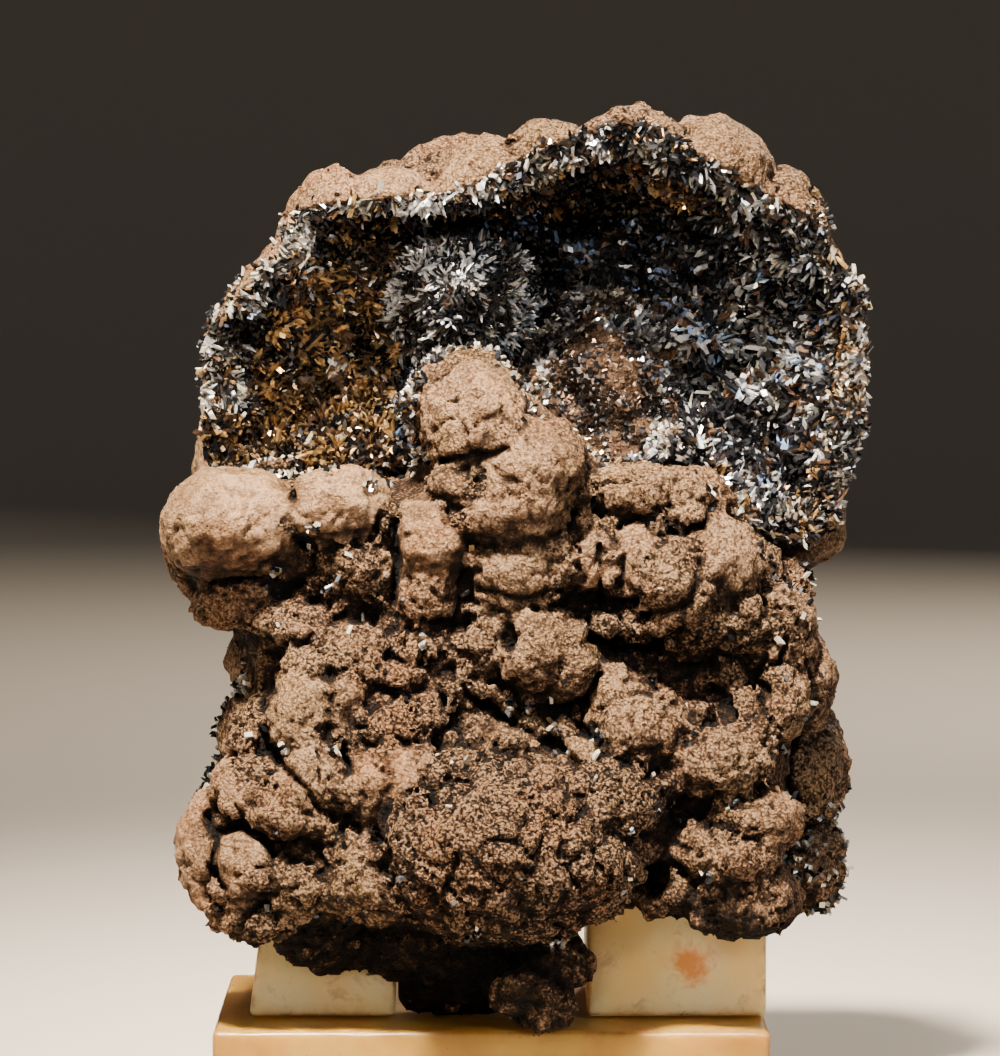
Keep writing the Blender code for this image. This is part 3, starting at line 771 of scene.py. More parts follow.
def hidden_lumps(rng):
    """Lumps scattered over the back and top of the rock's heart."""
    cores = FRONT_CORES + SHELL_CORES
    made = []
    while len(made) < HIDDEN_LUMPS:
        centre, radii = cores[rng.integers(len(cores))]
        direction = rng.normal(size=3)
        direction /= np.linalg.norm(direction)
        point = np.array(centre) + np.array(radii) * HIDDEN_DEPTH * direction
        if point[1] < HIDDEN_FRONT or point[2] < HIDDEN_LOW or inside_heart(point, centre):
            continue
        size = rng.uniform(*HIDDEN_RADIUS)
        stretch = size * rng.uniform(*HIDDEN_STRETCH, size=3)
        made.append((point, stretch, rng.uniform(*HIDDEN_GRAIN)))
    return made


def smooth_loop(points, count):
    """Reads count evenly spaced points from a smooth closed curve through the given points."""
    points = np.array(points, float)
    along = np.arange(count) * len(points) / count
    k = along.astype(int)
    t = (along - k)[:, None]
    before, start, end, after = [points[(k + j) % len(points)] for j in (-1, 0, 1, 2)]
    bend = 2 * before - 5 * start + 4 * end - after
    cubic = 3 * start - before - 3 * end + after
    return 0.5 * (2 * start + (end - before) * t + bend * t * t + cubic * t ** 3)


RIM_LOOP = smooth_loop(RIM, 720)
RIM_ANGLE = np.arctan2(RIM_LOOP[:, 2] - POLE[2], RIM_LOOP[:, 0] - POLE[0])
RIM_ORDER = np.argsort(RIM_ANGLE)
RIM_RADIUS = np.hypot(RIM_LOOP[:, 2] - POLE[2], RIM_LOOP[:, 0] - POLE[0])


def rim_lumps():
    """Small lumps all along the rim, which back the edge of the crust."""
    made = []
    for x, y, z in smooth_loop(RIM, RIM_LUMPS):
        inward = np.array((POLE[0] - x, 0.0, POLE[2] - z))
        inward /= np.linalg.norm(inward)
        centre = np.array((x, y + RIM_LUMP_BACK, z)) + RIM_LUMP_INWARD * inward
        made.append((centre, RIM_LUMP_RADII, RIM_LUMP_GRAIN))
    return made


def rim_at(x, z):
    """How far out from the pole towards the rim a place is (1 at the rim), and the rim there."""
    angle = np.arctan2(z - POLE[2], x - POLE[0])
    known = RIM_ANGLE[RIM_ORDER]
    radius = np.interp(angle, known, RIM_RADIUS[RIM_ORDER], period=2 * math.pi)
    rim_y = np.interp(angle, known, RIM_LOOP[RIM_ORDER, 1], period=2 * math.pi)
    return np.hypot(z - POLE[2], x - POLE[0]) / radius, radius, rim_y


def mound_height(x, z, inset):
    """How far the crystal mounds stand out of the hollow's wall."""
    height = np.zeros(np.broadcast(x, z).shape)
    for mound_x, mound_z, radius, rise in MOUNDS:
        away = np.hypot(x - mound_x, z - mound_z) / (radius - inset)
        bump = rise * np.maximum(1 - away * away, 0) ** MOUND_ROUNDNESS
        height = np.maximum(height, bump)
    return height


def wall_y(x, z, fraction, rim_y, inset=0.0):
    """The depth of the hollow's wall."""
    inner = np.minimum(fraction, 1.0)
    depth = (1 - inner ** WALL_ROUNDNESS) ** WALL_STEEPNESS
    y = rim_y + (POLE[1] - rim_y) * depth
    return y - mound_height(x, z, inset) * (1 - inner ** MOUND_FADE)


def carve_hollow(field, grid):
    """Cuts the hollow out of the shell and out through its mouth."""
    x = grid.axes[0][:, None]
    z = grid.axes[2][None, :]
    fraction, radius, rim_y = rim_at(x, z)
    wall = wall_y(x, z, fraction, rim_y, MOUND_INSET)
    slope = np.sqrt(1 + sum(g * g for g in np.gradient(wall, GRID_STEP)))
    slope = np.minimum(slope, STEEPEST_WALL)
    side = ((fraction - 1) * radius).astype(np.float32)[:, None, :]
    deep = grid.axes[1][None, :, None] - wall[:, None, :].astype(np.float32)
    deep = deep / slope[:, None, :].astype(np.float32)
    open_space = -np.maximum(deep, side)
    blend = np.float32(HOLLOW_BLEND)
    mix = np.clip(0.5 + 0.5 * (field - open_space) / blend, 0, 1)
    return field * mix + open_space * (1 - mix) + blend * mix * (1 - mix)


def clear_of_stand(field, grid):
    """Keeps the rock off the stand's blocks, so that it rests on them."""
    for *ranges, _ in STAND.values():
        low, high = np.array(ranges).T
        part = grid.window(low - 2, high + 2)
        sides = []
        for axis, (start, end) in enumerate(ranges):
            line = grid.axes[axis][part[axis]]
            sides.append(turned(np.maximum(start - line, line - end), axis))
        gap = np.maximum(np.maximum(sides[0], sides[1]), sides[2])
        field[part] = np.maximum(field[part], np.float32(STAND_GAP) - gap)


def polyline_distance(x, z, line):
    """Distance in the front view from places to a line through points."""
    best = np.full(len(x), 99.0, np.float32)
    for (ax, az), (bx, bz) in zip(line, line[1:]):
        length = (bx - ax) ** 2 + (bz - az) ** 2
        along = np.clip(((x - ax) * (bx - ax) + (z - az) * (bz - az)) / length, 0, 1)
        best = np.minimum(best, np.hypot(x - ax - along * (bx - ax), z - az - along * (bz - az)))
    return best


def crack_depth(points):
    """How deep the named cracks and pits cut at each place of the front."""
    depth = np.zeros(len(points), np.float32)
    wander = 0.45 * smooth_noise(points, 1.6, 2)
    for line, width, deep in CRACKS:
        low = np.min(line, axis=0) - 2.5
        high = np.max(line, axis=0) + 2.5
        x, y, z = points.T
        close = (x > low[0]) & (x < high[0]) & (z > low[1]) & (z < high[1]) & (y < CRACK_BACK)
        close = np.flatnonzero(close)
        away = polyline_distance(x[close] + wander[close], z[close] + wander[close], line)
        cut = deep * np.exp(-(away / width) ** 2)
        depth[close] = np.maximum(depth[close], cut)
    for pit_x, pit_z, radius, deep in PITS:
        away = np.hypot(points[:, 0] - pit_x, points[:, 2] - pit_z) / radius
        cut = np.where(points[:, 1] < CRACK_BACK, deep * np.exp(-away * away), 0)
        depth = np.maximum(depth, cut.astype(np.float32))
    return depth


def roughen(field, grain, grid):
    """Adds nodules, beads, grains, pits and cracks close to the surface."""
    flat = np.flatnonzero(np.abs(field) < RELIEF_REACH)
    points = grid.points(flat)
    waves = np.stack([smooth_noise(points, 2.6, n) for n in range(3)], axis=1)
    bent = points + RELIEF_BEND * waves
    rough = grain.ravel()[flat].astype(np.float32)
    strength = np.clip(rough * (1 + 0.6 * smooth_noise(points, 7.0, 3)), 0, 1.1)
    pits = np.clip(smooth_noise(bent, 1.5, 1, 0.2) - 0.4, 0, 1)
    lumpy = NODULE_HEIGHT * pillows(bent, *NODULES) + BEAD_HEIGHT * pillows(bent, *BEADS)
    relief = strength * (lumpy - PIT_DEPTH * pits)
    relief += (GRAIN_HEIGHT[0] + GRAIN_HEIGHT[1] * strength) * pillows(bent, *GRAINS)
    relief += 0.35 * smooth_noise(points, 3.4, 0) + 0.15 * smooth_noise(points, 1.1, 2)
    relief += SWELL_HEIGHT * np.clip(1 - strength, 0, 1) * pillows(bent, *SWELLS)
    nearest, second = scattered_cells(bent, *CREASES)
    edge = np.exp(-((second - nearest) / CREASE_WIDTH) ** 2)
    relief -= (0.2 + 1.0 * strength) * edge * np.clip(2 * smooth_noise(points, 9.0, 1, 0.6), 0, 1)
    relief -= crack_depth(points)
    field.ravel()[flat] -= relief


def grow_rock(rng):
    """The whole rock as a field on the grid, with the grain of its skin."""
    grid = Grid(rng)
    shell = np.full(grid.shape, FAR, np.float32)
    shell_grain = np.full(grid.shape, PLAIN_GRAIN, np.float16)
    cores = [(centre, radii, None) for centre, radii in SHELL_CORES]
    join_lumps(shell, shell_grain, grid, cores + BACK_LUMPS + rim_lumps() + hidden_lumps(rng))
    front, front_grain = make_front(grid, rng)
    carve_recesses(front, grid)
    shell = carve_hollow(shell, grid)
    grain = np.where(front < shell, front_grain, shell_grain)
    gap = (shell - front) / np.float32(SEAM)
    field = np.minimum(shell, front) + np.float32(SEAM) * np.exp(-gap * gap)
    roughen(field, grain, grid)
    clear_of_stand(field, grid)
    return grid, field, grain


# From field to mesh

def surface_net(field, grid):
    """Vertices and four-sided faces of the surface where the field is zero."""
    inside = field < 0
    shape = tuple(n - 1 for n in grid.shape)
    count = np.zeros(shape, np.uint8)
    for corner in CORNERS:
        count += inside[tuple(slice(first, first + n) for first, n in zip(corner, shape))]
    cells = np.flatnonzero((count > 0) & (count < 8))
    ids = np.full(count.size, -1, np.int32)
    ids[cells] = np.arange(len(cells), dtype=np.int32)
    places = crossing_means(field, np.unravel_index(cells, shape))
    quads = [faces_across(inside, ids.reshape(shape), axis) for axis in range(3)]
    return places, np.concatenate(quads)


def crossing_means(field, cells):
    """The mean of the points where each cell's edges cross the surface."""
    i, j, k = cells
    values = {(a, b, c): field[i + a, j + b, k + c] for a, b, c in CORNERS}
    total = np.zeros((len(i), 3), np.float32)
    crossings = np.zeros(len(i), np.float32)
    for start, axis in itertools.product(CORNERS, range(3)):
        if start[axis]:
            continue
        end = tuple(1 if n == axis else start[n] for n in range(3))
        a, b = values[start], values[end]
        crossed = (a < 0) != (b < 0)
        t = np.where(crossed, a / np.where(crossed, a - b, 1), 0)
        for n in range(3):
            total[:, n] += np.where(crossed, t if n == axis else start[n], 0)
        crossings += crossed
    places = total / crossings[:, None] + np.stack(cells, axis=1)
    return (places * GRID_STEP + GRID_LOW).astype(np.float32)


def faces_across(inside, ids, axis):
    """The faces between grid points inside and outside the rock, along one axis."""
    u, v = [n for n in range(3) if n != axis]
    first = [slice(1, n) for n in ids.shape]
    first[axis] = slice(0, ids.shape[axis])
    second = list(first)
    second[axis] = slice(1, ids.shape[axis] + 1)
    before = inside[tuple(first)]
    where = np.nonzero(before != inside[tuple(second)])
    cell = [where[n] + (0 if n == axis else 1) for n in range(3)]
    loop = []
    for du, dv in ((-1, -1), (0, -1), (0, 0), (-1, 0)):
        place = list(cell)
        place[u] = cell[u] + du
        place[v] = cell[v] + dv
        loop.append(ids[tuple(place)])
    loop = np.stack(loop, axis=1)
    kept = before[where] if axis != 1 else ~before[where]
    loop[~kept] = loop[~kept][:, ::-1]
    return loop


def keep_largest(places, quads):
    """Drops loose bits and closed bubbles, and keeps the largest connected surface."""
    labels = np.arange(len(places))
    here = quads[:, :3].ravel()
    there = quads[:, 1:].ravel()
    while len(here):
        a, b = labels[here], labels[there]
        apart = a != b
        here, there, a, b = here[apart], there[apart], a[apart], b[apart]
        np.minimum.at(labels, np.maximum(a, b), np.minimum(a, b))
        while not np.array_equal(labels, labels[labels]):
            labels = labels[labels]
    sizes = np.bincount(labels)
    kept = labels == sizes.argmax()
    return pick_faces(places, quads[kept[quads[:, 0]]], [])[:2]


def pick_faces(places, faces, extras):
    """Keeps only the vertices that the faces use."""
    used = np.zeros(len(places), bool)
    used[faces.ravel()] = True
    new = np.cumsum(used) - 1
    return places[used], new[faces], [extra[used] for extra in extras]


def vertex_normals(places, faces):
    """Unit normals of the vertices of four-sided faces."""
    a, b, c, d = (places[faces[:, n]] for n in range(4))
    face = np.cross(c - a, d - b)
    normals = np.zeros_like(places)
    for axis in range(3):
        for corner in range(4):
            normals[:, axis] += np.bincount(faces[:, corner], face[:, axis], len(places))
    return normals / (np.linalg.norm(normals, axis=1, keepdims=True) + 1e-9)


def neighbour_mean(values, faces):
    """The mean of each vertex's neighbours along the faces' sides."""
    values = values.reshape(len(values), -1)
    total = np.zeros_like(values)
    count = np.zeros(len(values), np.float32)
    for corner in range(4):
        here, there = faces[:, corner], faces[:, (corner + 1) % 4]
        for a, b in ((here, there), (there, here)):
            count += np.bincount(a, minlength=len(values))
            for axis in range(values.shape[1]):
                total[:, axis] += np.bincount(a, values[b, axis], len(values))
    return total / np.maximum(count, 1)[:, None]


def crowding(field, places, reach):
    """The share of rock round each place within a reach: high in crevices, low on bumps."""
    half_shape = [n // 2 for n in field.shape]
    fine = (field < 0)[tuple(slice(2 * n) for n in half_shape)]
    coarse = fine.reshape([size for n in half_shape for size in (n, 2)])
    coarse = coarse.mean(axis=(1, 3, 5), dtype=np.float32)
    half = max(1, round(reach / (2 * GRID_STEP)))
    for axis in range(3):
        coarse = running_mean(coarse, half, axis).astype(np.float32)
    return sample(coarse, (places - GRID_LOW) / (2 * GRID_STEP) - 0.25)


def sample(values, where):
    """Reads a grid between its points."""
    where = np.clip(where, 0, np.array(values.shape) - 1.001)
    base = where.astype(int)
    total = np.zeros(len(where), np.float32)
    for corner, weight in corner_weights(where - base, np.float64):
        i, j, k = (base[:, axis] + side for axis, side in enumerate(corner))
        total += (weight * values[i, j, k]).astype(np.float32)
    return total


def thin_out(places, faces, extras, size):
    """Merges vertices that share a cube of their own size, where size isn't zero."""
    key = np.arange(len(places), dtype=np.int64)
    coarse = np.flatnonzero(size > 0)
    cube = np.floor((places[coarse] - GRID_LOW) / size[coarse, None]).astype(np.int64)
    group = (size[coarse] * 100).astype(np.int64)
    code = ((group * 4096 + cube[:, 0]) * 4096 + cube[:, 1]) * 4096 + cube[:, 2]
    key[coarse] = code + len(places)
    _, new = np.unique(key, return_inverse=True)
    total = np.bincount(new)
    merged = np.stack([np.bincount(new, places[:, n]) / total for n in range(3)], axis=1)
    extras = [np.bincount(new, extra) / total for extra in extras]
    faces = new[faces]
    triangles = np.concatenate((faces[:, [0, 1, 2]], faces[:, [0, 2, 3]]))
    a, b, c = triangles.T
    triangles = triangles[(a != b) & (b != c) & (a != c)]
    order = np.sort(triangles, axis=1)
    _, first, count = np.unique(order, axis=0, return_index=True, return_counts=True)
    return merged.astype(np.float32), triangles[np.sort(first[count == 1])], extras


def build_mesh(name, places, faces, smooth=True, **attributes):
    """A linked mesh in metres, with a number or colour attribute for each named array."""
    mesh = bpy.data.meshes.new(name)
    sides = faces.shape[1]
    mesh.vertices.add(len(places))
    mesh.vertices.foreach_set("co", (places * MM).astype(np.float32).ravel())
    mesh.loops.add(faces.size)
    mesh.loops.foreach_set("vertex_index", faces.astype(np.int32).ravel())
    mesh.polygons.add(len(faces))
    starts = np.arange(0, faces.size, sides, dtype=np.int32)
    mesh.polygons.foreach_set("loop_start", starts)
    mesh.polygons.foreach_set("use_smooth", np.full(len(faces), smooth))
    for key, values in attributes.items():
        if values.ndim == 1:
            attribute = mesh.attributes.new(key, "FLOAT", "POINT")
            attribute.data.foreach_set("value", values.astype(np.float32))
        else:
            attribute = mesh.attributes.new(key, "FLOAT_COLOR", "POINT")
            opaque = np.ones((len(values), 4), np.float32)
            opaque[:, :3] = values
            attribute.data.foreach_set("color", opaque.ravel())
    mesh.update()
    mesh.validate()
    return add_object(name, mesh)


# Floor, light and camera

def add_object(name, data):
    """A linked object."""
    obj = bpy.data.objects.new(name, data)
    bpy.context.scene.collection.objects.link(obj)
    return obj


def face_towards(obj, place, target):
    """Puts an object at a place and turns its -Z axis to a point."""
    obj.location = place
    obj.rotation_euler = (Vector(target) - Vector(place)).to_track_quat("-Z", "Y").to_euler()


def make_floor():
    """A pale floor that curves up into a wall all round."""
    profile = [(0.0, 0.0)]
    for step in range(CURVE_STEPS + 1):
        angle = math.radians(90 * step / CURVE_STEPS)
        reach = FLOOR_RADIUS + WALL_CURVE * math.sin(angle)
        profile.append((reach, WALL_CURVE * (1 - math.cos(angle))))
    profile.append((FLOOR_RADIUS + WALL_CURVE, WALL_TOP))
    turns = [2 * math.pi * step / FLOOR_SIDES for step in range(FLOOR_SIDES)]
    places = [(r * math.cos(turn), r * math.sin(turn), z) for r, z in profile for turn in turns]
    faces = ring_faces(len(profile), FLOOR_SIDES)
    floor = build_mesh("floor", np.array(places) / MM, faces)
    material, _, shader, _ = start_material("floor")
    shader.inputs["Base Color"].default_value = (*STAGE_COLOUR, 1)
    shader.inputs["Roughness"].default_value = 0.9
    floor.data.materials.append(material)


def make_lights():
    """A dim even sky and square soft lights."""
    world = bpy.data.worlds.new("studio")
    world.use_nodes = True
    sky = world.node_tree.nodes["Background"]
    sky.inputs["Color"].default_value = (*SKY_COLOUR, 1)
    sky.inputs["Strength"].default_value = SKY_STRENGTH
    bpy.context.scene.world = world
    for name, (place, aim, size, power, colour, spread) in LIGHTS.items():
        light = bpy.data.lights.new(name, "AREA")
        light.size = size
        light.energy = power
        light.color = colour
        light.spread = math.radians(spread)
        face_towards(add_object(name, light), place, aim)


def make_camera():
    """The camera at the photograph's viewing angle."""
    data = bpy.data.cameras.new("camera")
    data.lens = CAMERA_LENS
    data.sensor_width = CAMERA_SENSOR
    data.clip_start = 0.01
    data.clip_end = 50.0
    camera = add_object("camera", data)
    rise = math.radians(CAMERA_RISE)
    away = CAMERA_DISTANCE * Vector((0, -math.cos(rise), math.sin(rise)))
    face_towards(camera, Vector(CAMERA_TARGET) + away, CAMERA_TARGET)
    bpy.context.scene.camera = camera


# Materials

def set_inputs(tree, node, **inputs):
    """Sets a node's inputs by name or _number: a value, or another node's output to link."""
    for key, value in inputs.items():
        value = getattr(value, "socket", value)
        number = key[1:]
        slot = node.inputs[int(number)] if number.isdigit() else node.inputs[key.replace("_", " ")]
        if isinstance(value, bpy.types.NodeSocket):
            tree.links.new(value, slot)
        else:
            slot.default_value = value


def add_node(tree, kind, settings=None, **inputs):
    """Adds a shader node with its settings and inputs."""
    made = tree.nodes.new(kind)
    for key, value in (settings or {}).items():
        setattr(made, key, value)
    set_inputs(tree, made, **inputs)
    return made


class Value:
    """A number in a shader, with which plain sums can be written."""

    def __init__(self, tree, socket):
        self.tree = tree
        self.socket = socket

    def sum(self, operation, first, second):
        """One sum on shader values."""
        made = add_node(self.tree, "ShaderNodeMath", {"operation": operation}, _0=first, _1=second)
        return Value(self.tree, made.outputs[0])

    def clamped(self):
        """The result of a sum, kept between 0 and 1."""
        self.socket.node.use_clamp = True
        return self

    def __add__(self, other):
        return self.sum("ADD", self, other)

    def __sub__(self, other):
        return self.sum("SUBTRACT", self, other)

    def __rsub__(self, other):
        return self.sum("SUBTRACT", other, self)

    def __mul__(self, other):
        return self.sum("MULTIPLY", self, other)

    def __truediv__(self, other):
        return self.sum("DIVIDE", self, other)

    def __pow__(self, other):
        return self.sum("POWER", self, other)


def vector_node(tree, operation, output=0, **inputs):
    """One sum on shader vectors."""
    return add_node(tree, "ShaderNodeVectorMath", {"operation": operation}, **inputs).outputs[output]


def mix_colours(tree, factor, first, second, blend="MIX"):
    """Mixes two colours by a factor."""
    settings = {"data_type": "RGBA", "blend_type": blend}
    return add_node(tree, "ShaderNodeMix", settings, _0=factor, _6=first, _7=second).outputs[2]


def ramp(tree, factor, stops):
    """A colour ramp through (position, colour) stops."""
    made = add_node(tree, "ShaderNodeValToRGB", None, Fac=factor)
    bar = made.color_ramp
    while len(bar.elements) < len(stops):
        bar.elements.new(0.5)
    for element, (position, colour) in zip(bar.elements, stops):
        element.position = position
        element.color = (*colour, 1)
    return Value(tree, made.outputs["Color"])


def noise_at(tree, place, size, detail=3.0, roughness=0.55, distortion=0.0):
    """Noise whose bumps are about the given size in millimetres."""
    made = add_node(tree, "ShaderNodeTexNoise", None, Vector=place, Scale=1.0 / (size * MM),
                    Detail=detail, Roughness=roughness, Distortion=distortion)
    return Value(tree, made.outputs["Fac"])


def bump(tree, strength, distance, height, **inputs):
    """A bump of a distance in millimetres."""
    made = add_node(tree, "ShaderNodeBump", None, Strength=strength, Distance=distance * MM,
                    Height=height, **inputs)
    return made.outputs["Normal"]


def start_material(name):
    """A material with its tree, its shader and the place on the object."""
    material = bpy.data.materials.new(name)
    material.use_nodes = True
    tree = material.node_tree
    place = tree.nodes.new("ShaderNodeTexCoord").outputs["Object"]
    return material, tree, tree.nodes["Principled BSDF"], place


def attribute(tree, name, output="Fac"):
    """A value stored on the mesh."""
    made = add_node(tree, "ShaderNodeAttribute", {"attribute_name": name})
    return Value(tree, made.outputs[output])


def rock_material():
    """Dusty brown psilomelane with fine grains, pale on its bumps and near black in its crevices from
    painted light and shade.
    """
    material, tree, shader, place = start_material("psilomelane_skin")
    grain = attribute(tree, "grain")
    patches = noise_at(tree, place, 9.0)
    drift = add_node(tree, "ShaderNodeTexNoise", None, Vector=place, Scale=1 / (1.1 * MM), Detail=2.0)
    shift = vector_node(tree, "SCALE", _0=drift.outputs["Color"], Scale=0.9 * MM)
    bent = vector_node(tree, "ADD", _0=place, _1=shift)
    crumbs = add_node(tree, "ShaderNodeTexVoronoi", {"feature": "F1"}, Vector=bent,
                      Scale=1 / (0.48 * MM), Randomness=1.0).outputs["Distance"]
    # The crumbs' gaps are painted darker as painted shade between the grains; the same pattern bumps
    # the skin
    fine = noise_at(tree, place, 0.36, 3.0, 0.7) * 1.7 - crumbs
    fine = (fine - 0.35) * (grain ** 1.5 * 1.2 + 0.10)
    # Painted shade from the mesh: darker in crevices, on sides that face down and under the rock
    hollow = attribute(tree, "cavity") - 0.40
    hollow = hollow.sum("MAXIMUM", hollow, 0.0)
    wrinkles = noise_at(tree, place, 2.2, 5.0, 0.68)
    level = 0.92 - hollow * 1.4 - grain * 0.16 + (patches - 0.5) * 0.5
    level = (level + (wrinkles - 0.5) * 0.5).clamped()
    contrast = (level * 1.7).clamped() * fine
    level = (level + contrast * 1.15).clamped()
    hue = ramp(tree, noise_at(tree, place, 16.0, 3.0, 0.6), ROCK_HUES)
    colour = mix_colours(tree, 1.0, ramp(tree, level, ROCK_TONES), hue, "MULTIPLY")
    normal = bump(tree, 1.0, 0.9, fine, Normal=bump(tree, 1.0, 1.6, wrinkles))
    set_inputs(tree, shader, Base_Color=colour, Normal=normal, Roughness=grain * 0.2 + 0.65)
    shader.inputs["Specular IOR Level"].default_value = 0.12
    return material


def ground_material():
    """The dark, crumbly ground that the crystals stand on."""
    material, tree, shader, place = start_material("crust_ground")
    crumbs = noise_at(tree, place, 0.8, 3.0, 0.6)
    shade = ramp(tree, crumbs, [(0.3, (0.25, 0.25, 0.25)), (0.75, (1.0, 1.0, 1.0))])
    colour = mix_colours(tree, 1.0, attribute(tree, "tint", "Color"), shade, "MULTIPLY")
    set_inputs(tree, shader, Base_Color=colour, Normal=bump(tree, 0.8, 0.4, crumbs))
    shader.inputs["Roughness"].default_value = 0.6
    return material


def crystal_material():
    """Metallic pyrolusite crystals, each with its own tint."""
    material, tree, shader, place = start_material("pyrolusite_crystals")
    wear = noise_at(tree, place, 0.5, 2.0)
    shade = ramp(tree, wear, [(0.25, (0.6, 0.58, 0.55)), (0.7, (1.0, 1.0, 1.0))])
    colour = mix_colours(tree, 1.0, attribute(tree, "tint", "Color"), shade, "MULTIPLY")
    set_inputs(tree, shader, Base_Color=colour, Roughness=wear * 0.22 + 0.12)
    shader.inputs["Metallic"].default_value = 0.6
    return material


def acrylic_material():
    """Aged, cloudy acrylic with yellowed edges, brown stains and scuffs; the uprights are painted
    paler as painted light and the base deeper as painted shade.
    """
    material, tree, shader, place = start_material("aged_acrylic")
    broad = noise_at(tree, place, 16.0, 3.0, 0.6)
    spots = noise_at(tree, place, 4.0, 4.0, 0.7, 0.6)
    upright_painted_light = ramp(tree, broad, UPRIGHT_PAINTED_LIGHT_TONES)
    deep = ramp(tree, broad, BASE_PAINTED_SHADE_TONES)
    # Painted light and shade: deep tones on the base, pale tones on the uprights
    colour = mix_colours(tree, attribute(tree, "deep"), upright_painted_light, deep)
    brown = ramp(tree, spots, [(0.58, (0, 0, 0)), (0.70, (1, 1, 1))])
    colour = mix_colours(tree, brown * 0.5, colour, BROWN_SPOTS)
    away = vector_node(tree, "DISTANCE", "Value", _0=place, _1=[v * MM for v in STAIN_PLACE])
    blots = noise_at(tree, place, 2.2, 4.0, 0.7, 1.0) * 1.7
    near = ((blots - Value(tree, away) / (STAIN_SIZE * MM)) * 1.5).clamped()
    colour = mix_colours(tree, near, colour, STAIN)
    dirt = (attribute(tree, "edge") * ((spots - 0.30) * 3.0).clamped()).clamped()
    colour = mix_colours(tree, dirt, colour, DIRT)
    scratches = noise_at(tree, place, 1.6, 4.0, 0.7)
    set_inputs(tree, shader, Base_Color=colour, Normal=bump(tree, 0.25, 0.3, scratches),
               Roughness=scratches * 0.3 + 0.18)
    shader.inputs["Transmission Weight"].default_value = 0.2
    shader.inputs["Subsurface Weight"].default_value = 0.6
    shader.inputs["Subsurface Scale"].default_value = 9 * MM
    shader.inputs["Subsurface Radius"].default_value = (1.0, 0.7, 0.35)
    shader.inputs["IOR"].default_value = 1.49
    return material


# Pieces

def dress(obj, material, slot, *nodes):
    """Gives a piece its material and its body, and hides the CAD nodes that it stands for; its slot is
    not used.
    """
    obj.data.materials.append(material)
    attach(obj, "root")
    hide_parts(*nodes)
    return obj


def painted_shade_levels(field, places, quads, normals):
    """Painted shade at each vertex, from 0 to 1: deep in a crevice, on sides that face down and as a
    painted shadow under the rock.
    """
    lump = neighbour_mean(neighbour_mean(places, quads), quads)
    convex = ((places - lump) * normals).sum(axis=1) / GRID_STEP
    close = crowding(field, places, CLOSE_REACH) - 0.5
    wide = crowding(field, places, WIDE_REACH) - 0.5
    cavity = PAINTED_SHADE_BASE + CLOSE_SHARE * close + wide - BULGE_SHARE * convex
    tilt = neighbour_mean(neighbour_mean(normals, quads), quads)[:, 2]
    # Painted shade on sides that face down, and a painted shadow under the rock
    cavity += SHADY_SIDE * np.clip(0.15 - tilt, 0, 1)
    under_top = UNDER_TOP + UNDER_RIGHT * np.clip((places[:, 0] - 14) / 8, 0, 1)
    return np.clip(cavity + UNDER_PAINTED_SHADOW * np.clip((under_top - places[:, 2]) / 7, 0, 1), 0, 1)


def face_sizes(places):
    """The size that faces are thinned out to: coarser at the back and under the crust."""
    fraction, _, rim_y = rim_at(places[:, 0], places[:, 2])
    wall = wall_y(places[:, 0], places[:, 2], fraction, rim_y)
    covered = (fraction < COVERED[0]) & (np.abs(places[:, 1] - wall) < COVERED[1])
    return np.where(covered, COVERED[2], np.where(places[:, 1] > BACK_FROM, BACK_SIZE, 0.0))


def make_rock(rng, material):
    """Builds the rock as pieces under the limit of faces, and returns its surface."""
    grid, field, grain = grow_rock(rng)
    places, quads = keep_largest(*surface_net(field, grid))
    normals = vertex_normals(places, quads)
    cavity = painted_shade_levels(field, places, quads, normals)
    skin = sample(grain.astype(np.float32), (places - GRID_LOW) / GRID_STEP)
    thin, faces, extras = thin_out(places, quads, (cavity, skin), face_sizes(places))
    middle = thin[faces].mean(axis=1)
    upper = middle[:, 2] > ROCK_SPLITS[0]
    left = middle[:, 0] < np.where(upper, ROCK_SPLITS[1], ROCK_SPLITS[2])
    back = middle[:, 1] > BACK_FROM
    for name, mask in (("psilomelane_back", back),
                       ("psilomelane_upper_left", ~back & upper & left),
                       ("psilomelane_upper_right", ~back & upper & ~left),
                       ("psilomelane_lower_left", ~back & ~upper & left),
                       ("psilomelane_lower_right", ~back & ~upper & ~left)):
        part, part_faces, (part_cavity, part_skin) = pick_faces(thin, faces[mask], extras)
        obj = build_mesh(name, part, part_faces, cavity=part_cavity, grain=part_skin)
        dress(obj, material, "psilomelane", "psilomelane")
    return places, normals, skin


def crust_surface(count, rings, inset=0.0):
    """The crust's open face as a ring of places for each step from the rim to the pole."""
    rim = smooth_loop(RIM, count)
    steps = 1 - (1 - np.linspace(0.012, 1, rings)) ** 1.5
    fraction = steps[:, None]
    x = POLE[0] + (rim[:, 0] - POLE[0]) * fraction
    z = POLE[2] + (rim[:, 2] - POLE[2]) * fraction
    y = wall_y(x, z, np.broadcast_to(fraction, x.shape), rim[:, 1], inset)
    inward = np.stack((POLE[0] - x, np.zeros_like(x), POLE[2] - z), axis=2)
    inward /= np.linalg.norm(inward, axis=2, keepdims=True)
    side = (fraction ** 8)[:, :, None]
    way = inward * side + np.array((0, -1, 0)) * np.sqrt(1 - side * side)
    return np.stack((x, y, z), axis=2), way, np.broadcast_to(fraction, x.shape)


def ring_faces(rings, count, offset=0):
    """Four-sided faces between neighbouring rings of vertices."""
    ring, step = np.meshgrid(np.arange(rings - 1), np.arange(count), indexing="ij")
    after = (step + 1) % count
    quads = np.stack((ring * count + step, ring * count + after,
                      (ring + 1) * count + after, (ring + 1) * count + step), axis=2)
    return quads.reshape(-1, 4) + offset


